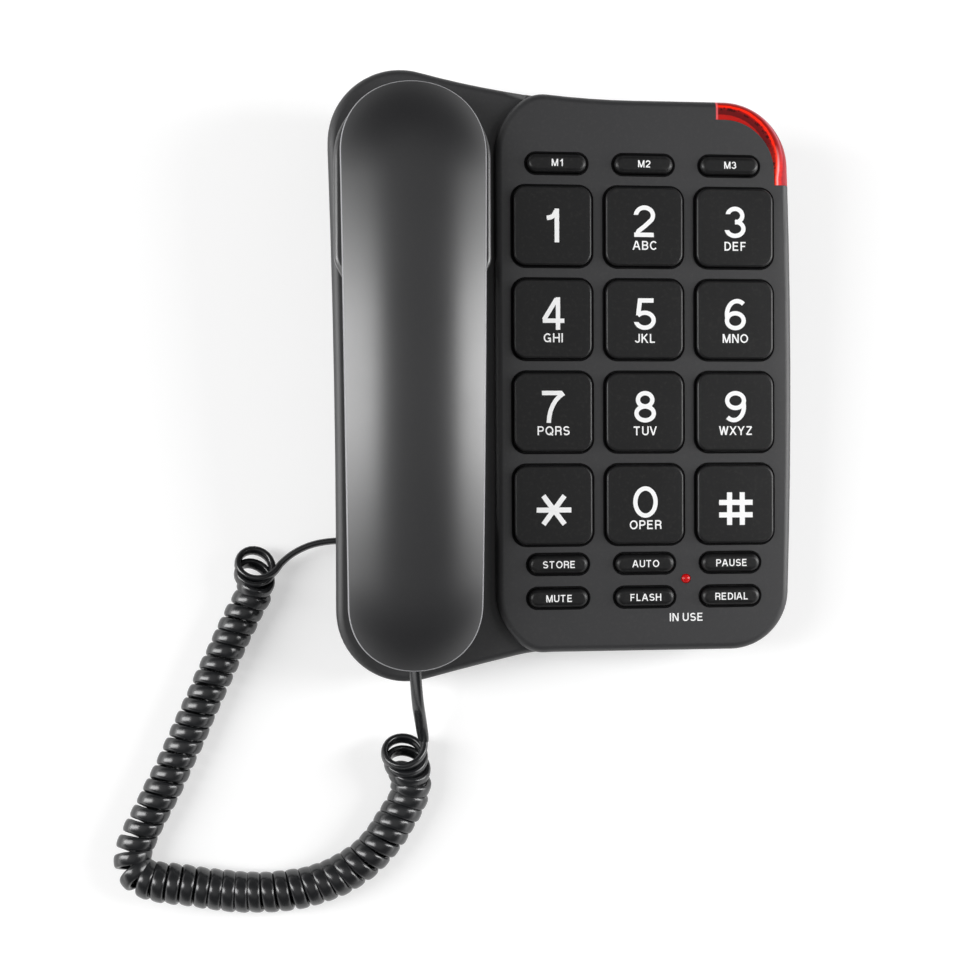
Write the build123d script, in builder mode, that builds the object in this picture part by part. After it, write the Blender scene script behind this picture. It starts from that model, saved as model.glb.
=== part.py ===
"""Corded desk telephone with large keys, as an assembly of separate pieces.

World frame: millimetres, +Z up, +X to the right, +Y to the rear. The origin is the centre of the footprint on
the table. The whole face of the telephone slopes, so most pieces are drawn on the face plane: u runs right,
v runs up the slope and w stands out of the face, with w = 0 on the key panel.
"""
from build123d import *
from math import cos, pi, radians, sin, sqrt, tan
import os

os.makedirs("parts", exist_ok=True)

# ---------------------------------------------------------------- driving dimensions
FACE_TILT = 7.5          # slope of the face, degrees
FACE_X, FACE_Y = 27.1, 2.0   # table position of the middle of the dial keys
FACE_Z = 39.0            # height of the key panel there

# plan outline of the base, in the face plane
BASE_RIGHT, BASE_RIGHT_BULGE = 49.4, 1.9
BASE_LEFT, BASE_LEFT_FLARE = -103.6, 2.9
PANEL_TOP, PANEL_BOTTOM = 89.4, -95.9
CRADLE_TOP, CRADLE_BOTTOM = 108.1, -112.8     # where the swept edges would meet the left side
SWEEP_TOP_U, SWEEP_BOTTOM_U = -3.0, -36.5     # where the swept edges leave the straight ones
SWEEP_SAG = 0.6          # bow of the lower swept edge
CORNER_TL, CORNER_TR, CORNER_BR, CORNER_BL, SWEEP_BLEND = 24.6, 22.3, 20.0, 23.7, 60.0

# shells of the base
PANEL_LEFT = -50.1       # step between cradle and key panel
PANEL_STEP_TOP, PANEL_STEP_BOTTOM, PANEL_STEP_R = 92.5, -98.0, 22.0
PANEL_BLEND = 12.0       # where the step runs out into the edge of the base
CRADLE_W = -4.0          # cradle surface below the key panel
PARTING_W = -14.0        # joint of top and bottom shell
WALL = 2.2
EDGE_R = 2.6             # soft outer edge of the top shell
DRAFT = 12.0             # inward lean of the bottom shell, degrees
SHELL_GAP = 0.4          # reveal between the two shells
SHELL_STEP = 0.3         # bottom shell inside the top shell's outline
FOOT_H, FOOT_R, FOOT_SEAT = 2.0, 6.0, 0.8
FOOT_X, FOOT_Y = 60.0, 76.0
FLOOR_T = 2.2

# wells and finger gap of the cradle
WELL_GAP = 1.3           # air round the cups
EAR_WELL_END, MOUTH_WELL_END = 35.6, -53.4
WELL_CORNER, WELL_FLOOR_R, SCOOP_FLOOR_R = 3.2, 1.8, 3.5
SCOOP_W, SCOOP_HALF, SCOOP_TOP, SCOOP_BOTTOM, SCOOP_R = -9.0, 19.0, 27.0, -47.0, 8.0

# keys
KEY_PITCH, KEY_HOLE, KEY_CORNER = 31.0, 27.0, 4.6
FUNCTION_PITCH, FUNCTION_HOLE_L, FUNCTION_HOLE_W = 29.4, 20.8, 6.9
MEMORY_V, STORE_V, MUTE_V = 67.4, -66.3, -77.6
KEY_GAP = 0.35           # running gap between a key and its hole
KEY_PROUD, KEY_EDGE_R, FUNCTION_EDGE_R = 1.8, 0.8, 1.7
KEY_TRAVEL = 1.5
FLANGE_T, FLANGE_LAP, FLANGE_GAP = 1.2, 0.9, 0.3
KEY_SHELL = 1.7
PUSHER_R = 3.0
MAT_T, PCB_T = 1.0, 1.6
MAT_GAP = 0.7            # air between a pressed key's flange and the mat
DOME_GAP = 0.2           # air between a pressed key and its dome
DOME_R = 3.6
BOARD_INSET, BOARD_TOP, BOARD_BOTTOM = 7.0, 72.3, -84.0
STANDOFF_R, STANDOFF_BORE = 2.4, 1.15
STANDOFFS = ((-14.7, 67.4), (14.7, 67.4), (-14.7, -72.0), (14.7, -79.5))
LED_U, LED_V, LED_R, LED_PROUD = 14.2, -71.6, 1.6, 0.9

# ring light round the rear right corner
LENS_BAND, LENS_DEPTH, LENS_START_U, LENS_END_V, LENS_FIT = 5.2, 8.0, 25.0, 61.2, 0.1
LENS_SPREAD = 1.2        # how much wider the lens is along the rear edge
RING_BOARD_L, RING_BOARD_W, RING_BOARD_T = 12.0, 4.0, 1.2

# screws that hold the two shells, in the face plane
PANEL_SCREWS = ((-30.0, 76.6), (4.0, 76.6), (-28.0, -88.3), (30.0, -88.0))
CRADLE_SCREWS = ((-77.8, 6.0), (-77.8, -30.0))
BOSS_R, POST_R, POST_BORE = 3.5, 4.4, 3.1
BOSS_END_W, SCREW_SEAT_W, SCREW_TIP_W = -17.0, -19.5, -11.8
SCREW_R, SCREW_HEAD_R, SCREW_HEAD_H = 1.45, 2.8, 2.0
POST_GAP = 0.3
SCREW_CLEAR, BORE_CLEAR = 0.25, 0.05

# handset
HS_U = -77.8
EAR_V, EAR_R = 67.0, 23.7
MOUTH_V, MOUTH_R = -77.3, 21.9
CROWN_W, CROWN_R, CROWN_SIDE_R = 21.8, 900.0, 46.0
RIM_DEPTH = 8.3          # joint of the two handset shells below the top of the crown
HS_REVEAL = 0.4          # groove between the two handset shells
HS_INSET = 0.4           # front shell inside the cover's outline
HS_DRAFT = 8.0
HS_WALL = 2.0
GRIP_W = 3.0             # underside of the grip
CUP_W = -12.7            # face of both cups
CUP_EDGE_R = 2.5
EAR_ARCH_V, MOUTH_ARCH_V, ARCH_LEAN, ARCH_R = 40.0, -58.0, 6.0, 7.0
SHOULDER_R, SHOULDER_V, SHOULDER_RAMP = 25.6, 33.2, 7.0
SHOULDER_W, SHOULDER_TOP_W, SHOULDER_EDGE_R = -2.4, 8.6, 1.4
HANDSET_SEAT = 0.3       # air under the cups when the handset rests
RECEIVER_R, RECEIVER_H = 16.0, 8.5
MIC_R, MIC_H, BOOT_WALL = 4.85, 6.5, 1.6
WEIGHT_V, WEIGHT_L, WEIGHT_W, WEIGHT_H = -9.0, 46.0, 16.0, 5.0
HS_SCREW_SPOTS = ((-77.8, 22.0), (-77.8, -40.0))
HS_SCREW_SINK = 3.0      # screw seat above the underside of the grip
HS_SCREW_LENGTH = 12.0
EAR_HOLE_R, EAR_RING_R, EAR_HOLES = 1.1, 7.5, 6
MOUTH_HOLE_R, MOUTH_HOLE_PITCH = 0.9, 3.4

# hook switch
HOOK_V, HOOK_L, HOOK_W = 52.0, 12.0, 7.0
HOOK_GAP, HOOK_TRAVEL, HOOK_FLANGE = 0.4, 4.0, 1.3
HOOK_SWITCH_L, HOOK_SWITCH_W, HOOK_SWITCH_H = 16.0, 9.0, 9.0
TAB_V, TAB_L, TAB_T, TAB_PROUD = 31.4, 9.0, 2.4, 2.6

# jacks, plugs and switches
PLUG_W, PLUG_H, PLUG_L = 7.6, 6.5, 12.5
PLUG_FIT, PLUG_PROUD = 0.1, 1.2
JACK_WALL, WINDOW_GAP = 1.7, 0.4
BASE_JACK_V, BASE_JACK_Z = -58.8, 10.0
HS_JACK_W, HS_JACK_BEHIND = 4.6, 1.0
LINE_JACK_X, LINE_JACK_Z = 44.0, 14.0
LINE_SOCKET_W, LINE_SOCKET_H, LINE_SOCKET_L = 9.8, 7.0, 12.0
SWITCH_L, SWITCH_H, SWITCH_DEPTH = 12.0, 6.0, 5.0
KNOB_L, KNOB_H, KNOB_PROUD, KNOB_TRAVEL = 3.4, 2.4, 0.8, 4.0
MODE_X, MODE_Z = 14.0, 14.0
RINGER_V, RINGER_W = 24.0, -24.0
WINDOW_DEPTH = 5.0       # how far a window is cut to each side of the wall's outside
JACK_BOW, RINGER_BOW = 0.4, 0.2      # bow of the side walls at the jack and at the ringer switch
JACK_BEHIND, MODE_BEHIND, RINGER_BEHIND = 1.6, 0.5, 0.9     # clear of the leaning wall's inside
KNOB_SEAT = 0.3
PLUG_CHAMFER = 0.5
LATCH_SHARE, LATCH_DEPTH = 0.55, 1.3

# inside the base
SPEAKER_X, SPEAKER_Y, SPEAKER_R, SPEAKER_H = 32.0, -48.0, 15.0, 6.0
BALLAST_X, BALLAST_Y, BALLAST_L, BALLAST_W, BALLAST_T = 34.0, 6.0, 60.0, 46.0, 3.2

SOUND_SLOTS, SOUND_SLOT_PITCH, SOUND_SLOT_W = 5, 4.2, 1.8
MAGNET_SHARE = 0.6       # magnet's width within the speaker

# wall keyholes
KEYHOLE_PITCH, KEYHOLE_R, KEYHOLE_SLOT_R, KEYHOLE_SLOT = 82.6, 4.5, 2.2, 10.0

# cord
CORD_W = 4.4             # width of the flat cord
COIL_D = 13.6            # outside of the curls
CORD_LEAD = 9.8          # straight piece at each plug

# ---------------------------------------------------------------- frames and levels
SLOPE = radians(FACE_TILT)
FACE = Plane(origin=(FACE_X, FACE_Y, FACE_Z), x_dir=(1, 0, 0), z_dir=(0, -sin(SLOPE), cos(SLOPE)))
OUTWARD = Axis((FACE_X, FACE_Y, FACE_Z), (0, -sin(SLOPE), cos(SLOPE)))
FAR = 300.0              # longer than anything here, for trimming
FLOOR_BOTTOM = FOOT_H
FLOOR_TOP = FOOT_H + FLOOR_T
BOTTOM_TOP_W = PARTING_W - SHELL_GAP
KEY_TOP_W = KEY_PROUD
FLANGE_TOP_W = -WALL - FLANGE_GAP
FLANGE_W = FLANGE_TOP_W - FLANGE_T
MAT_TOP_W = FLANGE_W - KEY_TRAVEL - MAT_GAP
BOARD_TOP_W = MAT_TOP_W - MAT_T
BOARD_W = BOARD_TOP_W - PCB_T
DOME_TOP_W = FLANGE_W - KEY_TRAVEL - DOME_GAP
WELL_FLOOR_W = CUP_W - HANDSET_SEAT
WELL_UNDER_W = WELL_FLOOR_W - WALL
CREASE_MIDDLE_W = CROWN_W - RIM_DEPTH
JACK_SETBACK = WALL + JACK_BEHIND
MODE_SETBACK = WALL + MODE_BEHIND
RINGER_SETBACK = WALL + RINGER_BEHIND
HS_JACK_BOW = MOUTH_R - sqrt(MOUTH_R**2 - (PLUG_W / 2 + JACK_WALL) ** 2)     # round end wall behind a flat jack
HS_JACK_SETBACK = HS_WALL + HS_JACK_BOW + HS_JACK_BEHIND


def at(u, v, w):
    """World point of a face-plane point."""
    return FACE.from_local_coords(Vector(u, v, w))


def level_w(v, height):
    """w of the horizontal level `height` on the line v."""
    return (height - FACE_Z - v * sin(SLOPE)) / cos(SLOPE)


def side_plane(u):
    """Plane across the face at u, with its x along v and its y along w."""
    return Plane(origin=at(u, 0, 0), x_dir=FACE.y_dir, z_dir=FACE.x_dir)


# ---------------------------------------------------------------- shared outlines
def moved_inwards(outline, inset):
    """The outline moved inwards and drawn again with plain lines and arcs."""
    with BuildSketch() as moved:
        add(outline)
        offset(amount=-inset)
    with BuildSketch() as drawn:
        with BuildLine():
            for edge in moved.edges():
                if edge.geom_type == GeomType.LINE:
                    Line(edge @ 0, edge @ 1)
                else:
                    ThreePointArc(edge @ 0, edge @ 0.5, edge @ 1)
        make_face()
    return drawn.sketch


def base_outline(inset=0.0):
    """Plan outline of the base, moved inwards by inset."""
    right_top = (BASE_RIGHT, PANEL_TOP)
    right_bottom = (BASE_RIGHT, PANEL_BOTTOM)
    right_middle = (BASE_RIGHT + BASE_RIGHT_BULGE, (PANEL_TOP + PANEL_BOTTOM) / 2)
    left_top = (BASE_LEFT - BASE_LEFT_FLARE, CRADLE_TOP)
    left_bottom = (BASE_LEFT, CRADLE_BOTTOM)
    sweep_top = (SWEEP_TOP_U, PANEL_TOP)
    sweep_bottom = (SWEEP_BOTTOM_U, PANEL_BOTTOM)
    sweep_middle = ((BASE_LEFT + SWEEP_BOTTOM_U) / 2, (CRADLE_BOTTOM + PANEL_BOTTOM) / 2 + SWEEP_SAG)
    with BuildSketch() as outline:
        with BuildLine():
            ThreePointArc(right_bottom, right_middle, right_top)
            Line(right_top, sweep_top)
            TangentArc(sweep_top, left_top, tangent=(-1, 0))
            ThreePointArc(left_top, (BASE_LEFT, 0), left_bottom)
            ThreePointArc(left_bottom, sweep_middle, sweep_bottom)
            Line(sweep_bottom, right_bottom)
        make_face()
        corners = (
            (left_top, CORNER_TL),
            (right_top, CORNER_TR),
            (right_bottom, CORNER_BR),
            (left_bottom, CORNER_BL),
            (sweep_bottom, SWEEP_BLEND),
        )
        for corner, radius in corners:
            fillet(outline.vertices().sort_by_distance((*corner, 0))[0], radius)
    return moved_inwards(outline.sketch, inset) if inset else outline.sketch


def panel_outline(inset=0.0):
    """The key panel's part of the base outline, moved inwards by inset."""
    with BuildSketch() as outline:
        add(base_outline())
        with BuildSketch(mode=Mode.INTERSECT) as step:
            with BuildLine():
                Polyline(
                    (PANEL_LEFT, PANEL_STEP_BOTTOM),
                    (FAR, PANEL_STEP_BOTTOM),
                    (FAR, PANEL_STEP_TOP),
                    (PANEL_LEFT, PANEL_STEP_TOP),
                    close=True,
                )
            make_face()
            fillet(step.vertices().group_by(Axis.X)[0], PANEL_STEP_R)
        ends = outline.vertices().filter_by_position(Axis.X, PANEL_LEFT + 1, PANEL_LEFT + PANEL_STEP_R)
        fillet(ends.group_by(Axis.Y)[0] + ends.group_by(Axis.Y)[-1], PANEL_BLEND)
    return moved_inwards(outline.sketch, inset) if inset else outline.sketch


def handset_outline(inset=0.0):
    """Plan outline of the handset: two round ends joined by a slight taper."""
    with BuildSketch() as outline:
        with Locations((HS_U, EAR_V)):
            Circle(EAR_R - inset)
        with Locations((HS_U, MOUTH_V)):
            Circle(MOUTH_R - inset)
        make_hull()
    return outline.sketch


def cup_inset(w):
    """How far the drafted front shell lies inside the cover's outline at level w."""
    return HS_INSET + (CREASE_MIDDLE_W - w) * tan(radians(HS_DRAFT))


def well_outline(grow):
    """Plan outlines of the two wells at the cradle surface, grown by grow."""
    with BuildSketch() as outline:
        add(handset_outline(cup_inset(CRADLE_W) - WELL_GAP - grow))
        with Locations((HS_U, (EAR_WELL_END + MOUTH_WELL_END) / 2)):
            Rectangle(4 * EAR_R, EAR_WELL_END - MOUTH_WELL_END - 2 * grow, mode=Mode.SUBTRACT)
        inner = outline.vertices().filter_by(
            lambda p: MOUTH_WELL_END - FAR / 60 < p.Y < EAR_WELL_END + FAR / 60
        )
        fillet(inner, WELL_CORNER + grow)
    return outline.sketch


# ---------------------------------------------------------------- base: top shell
KEY_SPOTS = {
    name: ((column - 1) * KEY_PITCH, (1.5 - row) * KEY_PITCH)
    for row, names in enumerate(
        (
            ("key_1", "key_2", "key_3"),
            ("key_4", "key_5", "key_6"),
            ("key_7", "key_8", "key_9"),
            ("key_star", "key_0", "key_hash"),
        )
    )
    for column, name in enumerate(names)
}
FUNCTION_SPOTS = {
    name: ((column - 1) * FUNCTION_PITCH, v)
    for v, names in (
        (MEMORY_V, ("memory_key_1", "memory_key_2", "memory_key_3")),
        (STORE_V, ("store_key", "auto_key", "pause_key")),
        (MUTE_V, ("mute_key", "flash_key", "redial_key")),
    )
    for column, name in enumerate(names)
}

with BuildPart() as cradle_block:
    with BuildSketch(FACE.offset(PARTING_W)):
        add(base_outline())
    extrude(amount=CRADLE_W - PARTING_W)
    fillet(cradle_block.faces().sort_by(OUTWARD)[-1].edges(), EDGE_R)

with BuildPart() as panel_block:
    with BuildSketch(FACE.offset(PARTING_W)):
        add(panel_outline())
    extrude(amount=-PARTING_W)
    fillet(panel_block.faces().sort_by(OUTWARD)[-1].edges(), EDGE_R)

with BuildPart() as wells:
    with BuildSketch(FACE.offset(CRADLE_W)):
        add(well_outline(0))
    extrude(amount=WELL_FLOOR_W - CRADLE_W, taper=HS_DRAFT)
    for floor in wells.faces().filter_by(lambda f: f.normal_at().dot(FACE.z_dir) < -0.99):
        fillet(floor.edges(), WELL_FLOOR_R)

with BuildPart() as scoop:
    with BuildSketch(FACE.offset(SCOOP_W)):
        with Locations((HS_U, (SCOOP_TOP + SCOOP_BOTTOM) / 2)):
            RectangleRounded(2 * SCOOP_HALF, SCOOP_TOP - SCOOP_BOTTOM, SCOOP_R)
    extrude(amount=CRADLE_W - SCOOP_W)
    fillet(scoop.faces().sort_by(OUTWARD)[0].edges(), SCOOP_FLOOR_R)


def lens_band(fit):
    """Band along the rear right corner, shrunk by fit on its inner side and both ends."""
    with BuildSketch() as band:
        add(panel_outline(-EDGE_R))
        with Locations((0, -LENS_SPREAD)):
            add(panel_outline(LENS_BAND - fit), mode=Mode.SUBTRACT)
        with Locations((LENS_START_U + fit + FAR / 2, LENS_END_V + fit + FAR / 2)):
            Rectangle(FAR, FAR, mode=Mode.INTERSECT)
    return band.sketch


with BuildPart() as base_top_shell:
    add(cradle_block.part)
    add(panel_block.part)
    with BuildSketch(FACE.offset(PARTING_W)):
        add(base_outline(WALL))
    extrude(amount=CRADLE_W - WALL - PARTING_W, mode=Mode.SUBTRACT)
    with BuildSketch(FACE.offset(PARTING_W)):
        add(panel_outline(WALL))
    extrude(amount=-WALL - PARTING_W, mode=Mode.SUBTRACT)
    # housings of the wells and of the finger gap hang inside the shell
    with BuildSketch(FACE.offset(CRADLE_W - WALL)):
        add(well_outline(WALL))
    extrude(amount=WELL_UNDER_W - CRADLE_W + WALL, taper=HS_DRAFT)
    with BuildSketch(FACE.offset(SCOOP_W - WALL)):
        with Locations((HS_U, (SCOOP_TOP + SCOOP_BOTTOM) / 2)):
            RectangleRounded(2 * (SCOOP_HALF + WALL), SCOOP_TOP - SCOOP_BOTTOM + 2 * WALL, SCOOP_R + WALL)
    extrude(amount=CRADLE_W - SCOOP_W)
    # screw bosses and board standoffs
    with BuildSketch(FACE.offset(BOSS_END_W)):
        with Locations(*PANEL_SCREWS):
            Circle(BOSS_R)
    extrude(amount=-WALL / 2 - BOSS_END_W)
    with BuildSketch(FACE.offset(BOSS_END_W)):
        with Locations(*CRADLE_SCREWS):
            Circle(BOSS_R)
    extrude(amount=SCOOP_W - WALL / 2 - BOSS_END_W)
    with BuildSketch(FACE.offset(BOARD_TOP_W)):
        with Locations(*STANDOFFS):
            Circle(STANDOFF_R)
    extrude(amount=-WALL / 2 - BOARD_TOP_W)
    add(wells.part, mode=Mode.SUBTRACT)
    add(scoop.part, mode=Mode.SUBTRACT)
    with BuildSketch(FACE.offset(BOSS_END_W)):
        with Locations(*PANEL_SCREWS, *CRADLE_SCREWS):
            Circle(SCREW_R + SCREW_CLEAR / 4)
    extrude(amount=SCREW_TIP_W + SCREW_CLEAR - BOSS_END_W, mode=Mode.SUBTRACT)
    with BuildSketch(FACE.offset(BOARD_TOP_W)):
        with Locations(*STANDOFFS):
            Circle(STANDOFF_BORE)
    extrude(amount=-WALL - BOARD_TOP_W, mode=Mode.SUBTRACT)
    # openings of the key panel
    with BuildSketch(FACE.offset(-WALL)):
        with Locations(*KEY_SPOTS.values()):
            RectangleRounded(KEY_HOLE, KEY_HOLE, KEY_CORNER)
        with Locations(*FUNCTION_SPOTS.values()):
            SlotOverall(FUNCTION_HOLE_L, FUNCTION_HOLE_W)
        with Locations((LED_U, LED_V)):
            Circle(LED_R + LENS_FIT)
    extrude(amount=WALL, mode=Mode.SUBTRACT)
    with BuildSketch(FACE.offset(-LENS_DEPTH)):
        add(lens_band(0))
    extrude(amount=LENS_DEPTH, mode=Mode.SUBTRACT)
    # hook plunger and retainer tab pass through the cradle
    with BuildSketch(FACE.offset(WELL_UNDER_W)):
        with Locations((HS_U, HOOK_V)):
            RectangleRounded(HOOK_L + 2 * HOOK_GAP, HOOK_W + 2 * HOOK_GAP, HOOK_W / 4 + HOOK_GAP)
    extrude(amount=WELL_FLOOR_W - WELL_UNDER_W, mode=Mode.SUBTRACT)
    with BuildSketch(FACE.offset(CRADLE_W - WALL)):
        with Locations((HS_U, TAB_V)):
            Rectangle(TAB_L + 2 * PLUG_FIT, TAB_T + 2 * PLUG_FIT)
    extrude(amount=WALL, mode=Mode.SUBTRACT)
base_top_shell.part.label = "base_top_shell"
export_step(base_top_shell.part, "parts/base_top_shell.step")

with BuildPart() as corner_lens:
    with BuildSketch(FACE.offset(LENS_FIT - LENS_DEPTH)):
        add(lens_band(LENS_FIT))
    extrude(amount=LENS_DEPTH)
    add(panel_block.part, mode=Mode.INTERSECT)
corner_lens.part.label = "corner_lens"
export_step(corner_lens.part, "parts/corner_lens.step")

with BuildPart() as handset_retainer_tab:
    with BuildSketch(FACE.offset(CRADLE_W - WALL - TAB_T)):
        with Locations((HS_U, TAB_V)):
            Rectangle(TAB_L, TAB_T)
    extrude(amount=WALL + TAB_T + TAB_PROUD)
    fillet(handset_retainer_tab.faces().sort_by(OUTWARD)[-1].edges(), TAB_T / 4)
    with BuildSketch(FACE.offset(CRADLE_W - WALL - TAB_T)):
        with Locations((HS_U, TAB_V)):
            Rectangle(TAB_L + 2 * TAB_T, TAB_T)
    extrude(amount=TAB_T - PLUG_FIT)
handset_retainer_tab.part.label = "handset_retainer_tab"
export_step(handset_retainer_tab.part, "parts/handset_retainer_tab.step")

# ---------------------------------------------------------------- keys
for name, spot in KEY_SPOTS.items():
    with BuildPart() as dial_key:
        with BuildSketch(FACE.offset(FLANGE_W)):
            with Locations(spot):
                side = KEY_HOLE - 2 * KEY_GAP
                RectangleRounded(side, side, KEY_CORNER - KEY_GAP)
        extrude(amount=KEY_TOP_W - FLANGE_W)
        fillet(dial_key.faces().sort_by(OUTWARD)[-1].edges(), KEY_EDGE_R)
        with BuildSketch(FACE.offset(FLANGE_W)):
            with Locations(spot):
                lap = KEY_HOLE + 2 * FLANGE_LAP
                RectangleRounded(lap, lap, KEY_CORNER)
        extrude(amount=FLANGE_T)
        with BuildSketch(FACE.offset(FLANGE_W)):
            with Locations(spot):
                pocket = KEY_HOLE - 2 * KEY_GAP - 2 * KEY_SHELL
                RectangleRounded(pocket, pocket, KEY_CORNER - KEY_SHELL)
                Circle(PUSHER_R, mode=Mode.SUBTRACT)
        extrude(amount=KEY_TOP_W - KEY_SHELL - FLANGE_W, mode=Mode.SUBTRACT)
    dial_key.part.label = name
    export_step(dial_key.part, f"parts/{name}.step")

for name, spot in FUNCTION_SPOTS.items():
    with BuildPart() as function_key:
        with BuildSketch(FACE.offset(FLANGE_W)):
            with Locations(spot):
                SlotOverall(FUNCTION_HOLE_L - 2 * KEY_GAP, FUNCTION_HOLE_W - 2 * KEY_GAP)
        extrude(amount=KEY_TOP_W - FLANGE_W)
        fillet(function_key.faces().sort_by(OUTWARD)[-1].edges(), FUNCTION_EDGE_R)
        with BuildSketch(FACE.offset(FLANGE_W)):
            with Locations(spot):
                SlotOverall(FUNCTION_HOLE_L + 2 * FLANGE_LAP, FUNCTION_HOLE_W + 2 * FLANGE_LAP)
        extrude(amount=FLANGE_T)
    function_key.part.label = name
    export_step(function_key.part, f"parts/{name}.step")


def board_outline(inset):
    """Outline of the circuit board, or of what lies on it."""
    with BuildSketch() as outline:
        add(panel_outline(BOARD_INSET + inset))
        with Locations((0, (BOARD_TOP + BOARD_BOTTOM) / 2)):
            Rectangle(FAR, BOARD_TOP - BOARD_BOTTOM - 2 * inset, mode=Mode.INTERSECT)
    return outline.sketch


with BuildPart() as keypad_mat:
    with BuildSketch(FACE.offset(BOARD_TOP_W)):
        add(board_outline(MAT_T))
        with Locations(*STANDOFFS):
            Circle(STANDOFF_R + KEY_GAP, mode=Mode.SUBTRACT)
        with Locations((LED_U, LED_V)):
            Circle(LED_R + 2 * KEY_GAP, mode=Mode.SUBTRACT)
    extrude(amount=MAT_T)
    with BuildSketch(FACE.offset(MAT_TOP_W)):
        with Locations(*KEY_SPOTS.values(), *FUNCTION_SPOTS.values()):
            Circle(DOME_R)
    extrude(amount=DOME_TOP_W - MAT_TOP_W, taper=30)
keypad_mat.part.label = "keypad_mat"
export_step(keypad_mat.part, "parts/keypad_mat.step")

with BuildPart() as main_pcb:
    with BuildSketch(FACE.offset(BOARD_W)):
        add(board_outline(0))
        with Locations(*STANDOFFS):
            Circle(STANDOFF_BORE, mode=Mode.SUBTRACT)
    extrude(amount=PCB_T)
main_pcb.part.label = "main_pcb"
export_step(main_pcb.part, "parts/main_pcb.step")

with BuildPart() as pcb_screws:
    with BuildSketch(FACE.offset(BOARD_W)):
        with Locations(*STANDOFFS):
            Circle(STANDOFF_R)
    extrude(amount=-STANDOFF_BORE)
    with BuildSketch(FACE.offset(BOARD_W)):
        with Locations(*STANDOFFS):
            Circle(STANDOFF_BORE - BORE_CLEAR)
    extrude(amount=PCB_T + STANDOFF_R)
pcb_screws.part.label = "pcb_screws"
export_step(pcb_screws.part, "parts/pcb_screws.step")

with BuildPart() as in_use_led:
    with BuildSketch(FACE.offset(BOARD_TOP_W)):
        with Locations((LED_U, LED_V)):
            Circle(LED_R)
    extrude(amount=LED_PROUD - BOARD_TOP_W)
    fillet(in_use_led.faces().sort_by(OUTWARD)[-1].edges(), LED_R * 0.9)
in_use_led.part.label = "in_use_led"
export_step(in_use_led.part, "parts/in_use_led.step")

# the light board stands off the lens by its lamps
lens_middle = (CORNER_TR - LENS_BAND - KEY_GAP) * cos(pi / 4)
RING_U = BASE_RIGHT - CORNER_TR + lens_middle
RING_V = PANEL_TOP - CORNER_TR + lens_middle
with BuildPart() as ring_led_board:
    with BuildSketch(FACE.offset(-LENS_DEPTH - LED_R - RING_BOARD_T)):
        with Locations(Location((RING_U, RING_V), -45)):
            RectangleRounded(RING_BOARD_L, RING_BOARD_W, 1)
    extrude(amount=RING_BOARD_T)
    with BuildSketch(FACE.offset(-LENS_DEPTH - LED_R)):
        with Locations(Location((RING_U, RING_V), -45)):
            with Locations((-RING_BOARD_L / 4, 0), (RING_BOARD_L / 4, 0)):
                Circle(LED_R)
    extrude(amount=LED_R - KEY_GAP)
ring_led_board.part.label = "ring_led_board"
export_step(ring_led_board.part, "parts/ring_led_board.step")

# ---------------------------------------------------------------- base: bottom shell
def outer_wall_v(z):
    """v of the rear wall's outside at height z, and its w."""
    lean = tan(radians(DRAFT))
    top_v = PANEL_TOP - SHELL_STEP
    w = (z - FACE_Z - (top_v - BOTTOM_TOP_W * lean) * sin(SLOPE)) / (cos(SLOPE) + lean * sin(SLOPE))
    return top_v + (w - BOTTOM_TOP_W) * lean, w


def rear_wall_y(z):
    """Table position of the rear wall's outside at height z."""
    v, w = outer_wall_v(z)
    return at(0, v, w).Y


def side_wall_u(edge_u, w):
    """u of a side wall's outside at level w, for the outline's edge_u there."""
    inset = SHELL_STEP + (BOTTOM_TOP_W - w) * tan(radians(DRAFT))
    return edge_u - inset if edge_u > 0 else edge_u + inset


HOOK_UNDER_W = WELL_UNDER_W - HOOK_TRAVEL - HANDSET_SEAT - HOOK_FLANGE
POST_TOP_W = BOSS_END_W - POST_GAP
TRAY_DEPTH = 60.0
KEYHOLE_Y = KEYHOLE_PITCH / 2
FEET = [(x, y) for x in (-FOOT_X, FOOT_X) for y in (-FOOT_Y, FOOT_Y)]

with BuildPart() as tray_block:
    with BuildSketch(FACE.offset(BOTTOM_TOP_W)):
        add(base_outline(SHELL_STEP))
    extrude(amount=-TRAY_DEPTH, taper=DRAFT)
    split(bisect_by=Plane.XY.offset(FLOOR_BOTTOM), keep=Keep.TOP)

with BuildPart() as tray_hollow:
    with BuildSketch(FACE.offset(BOTTOM_TOP_W)):
        add(base_outline(SHELL_STEP + WALL))
    extrude(amount=-TRAY_DEPTH, taper=DRAFT)
    split(bisect_by=Plane.XY.offset(FLOOR_TOP), keep=Keep.TOP)
    # screw posts and the pedestal of the hook switch stay standing
    with BuildSketch(FACE.offset(POST_TOP_W)):
        with Locations(*PANEL_SCREWS, *CRADLE_SCREWS):
            Circle(POST_R)
    extrude(amount=-TRAY_DEPTH, mode=Mode.SUBTRACT)
    with BuildSketch(FACE.offset(HOOK_UNDER_W - HOOK_SWITCH_H - HANDSET_SEAT)):
        with Locations((HS_U, HOOK_V)):
            Rectangle(HOOK_SWITCH_L + WALL, HOOK_SWITCH_W + WALL)
    extrude(amount=-TRAY_DEPTH, mode=Mode.SUBTRACT)

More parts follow.
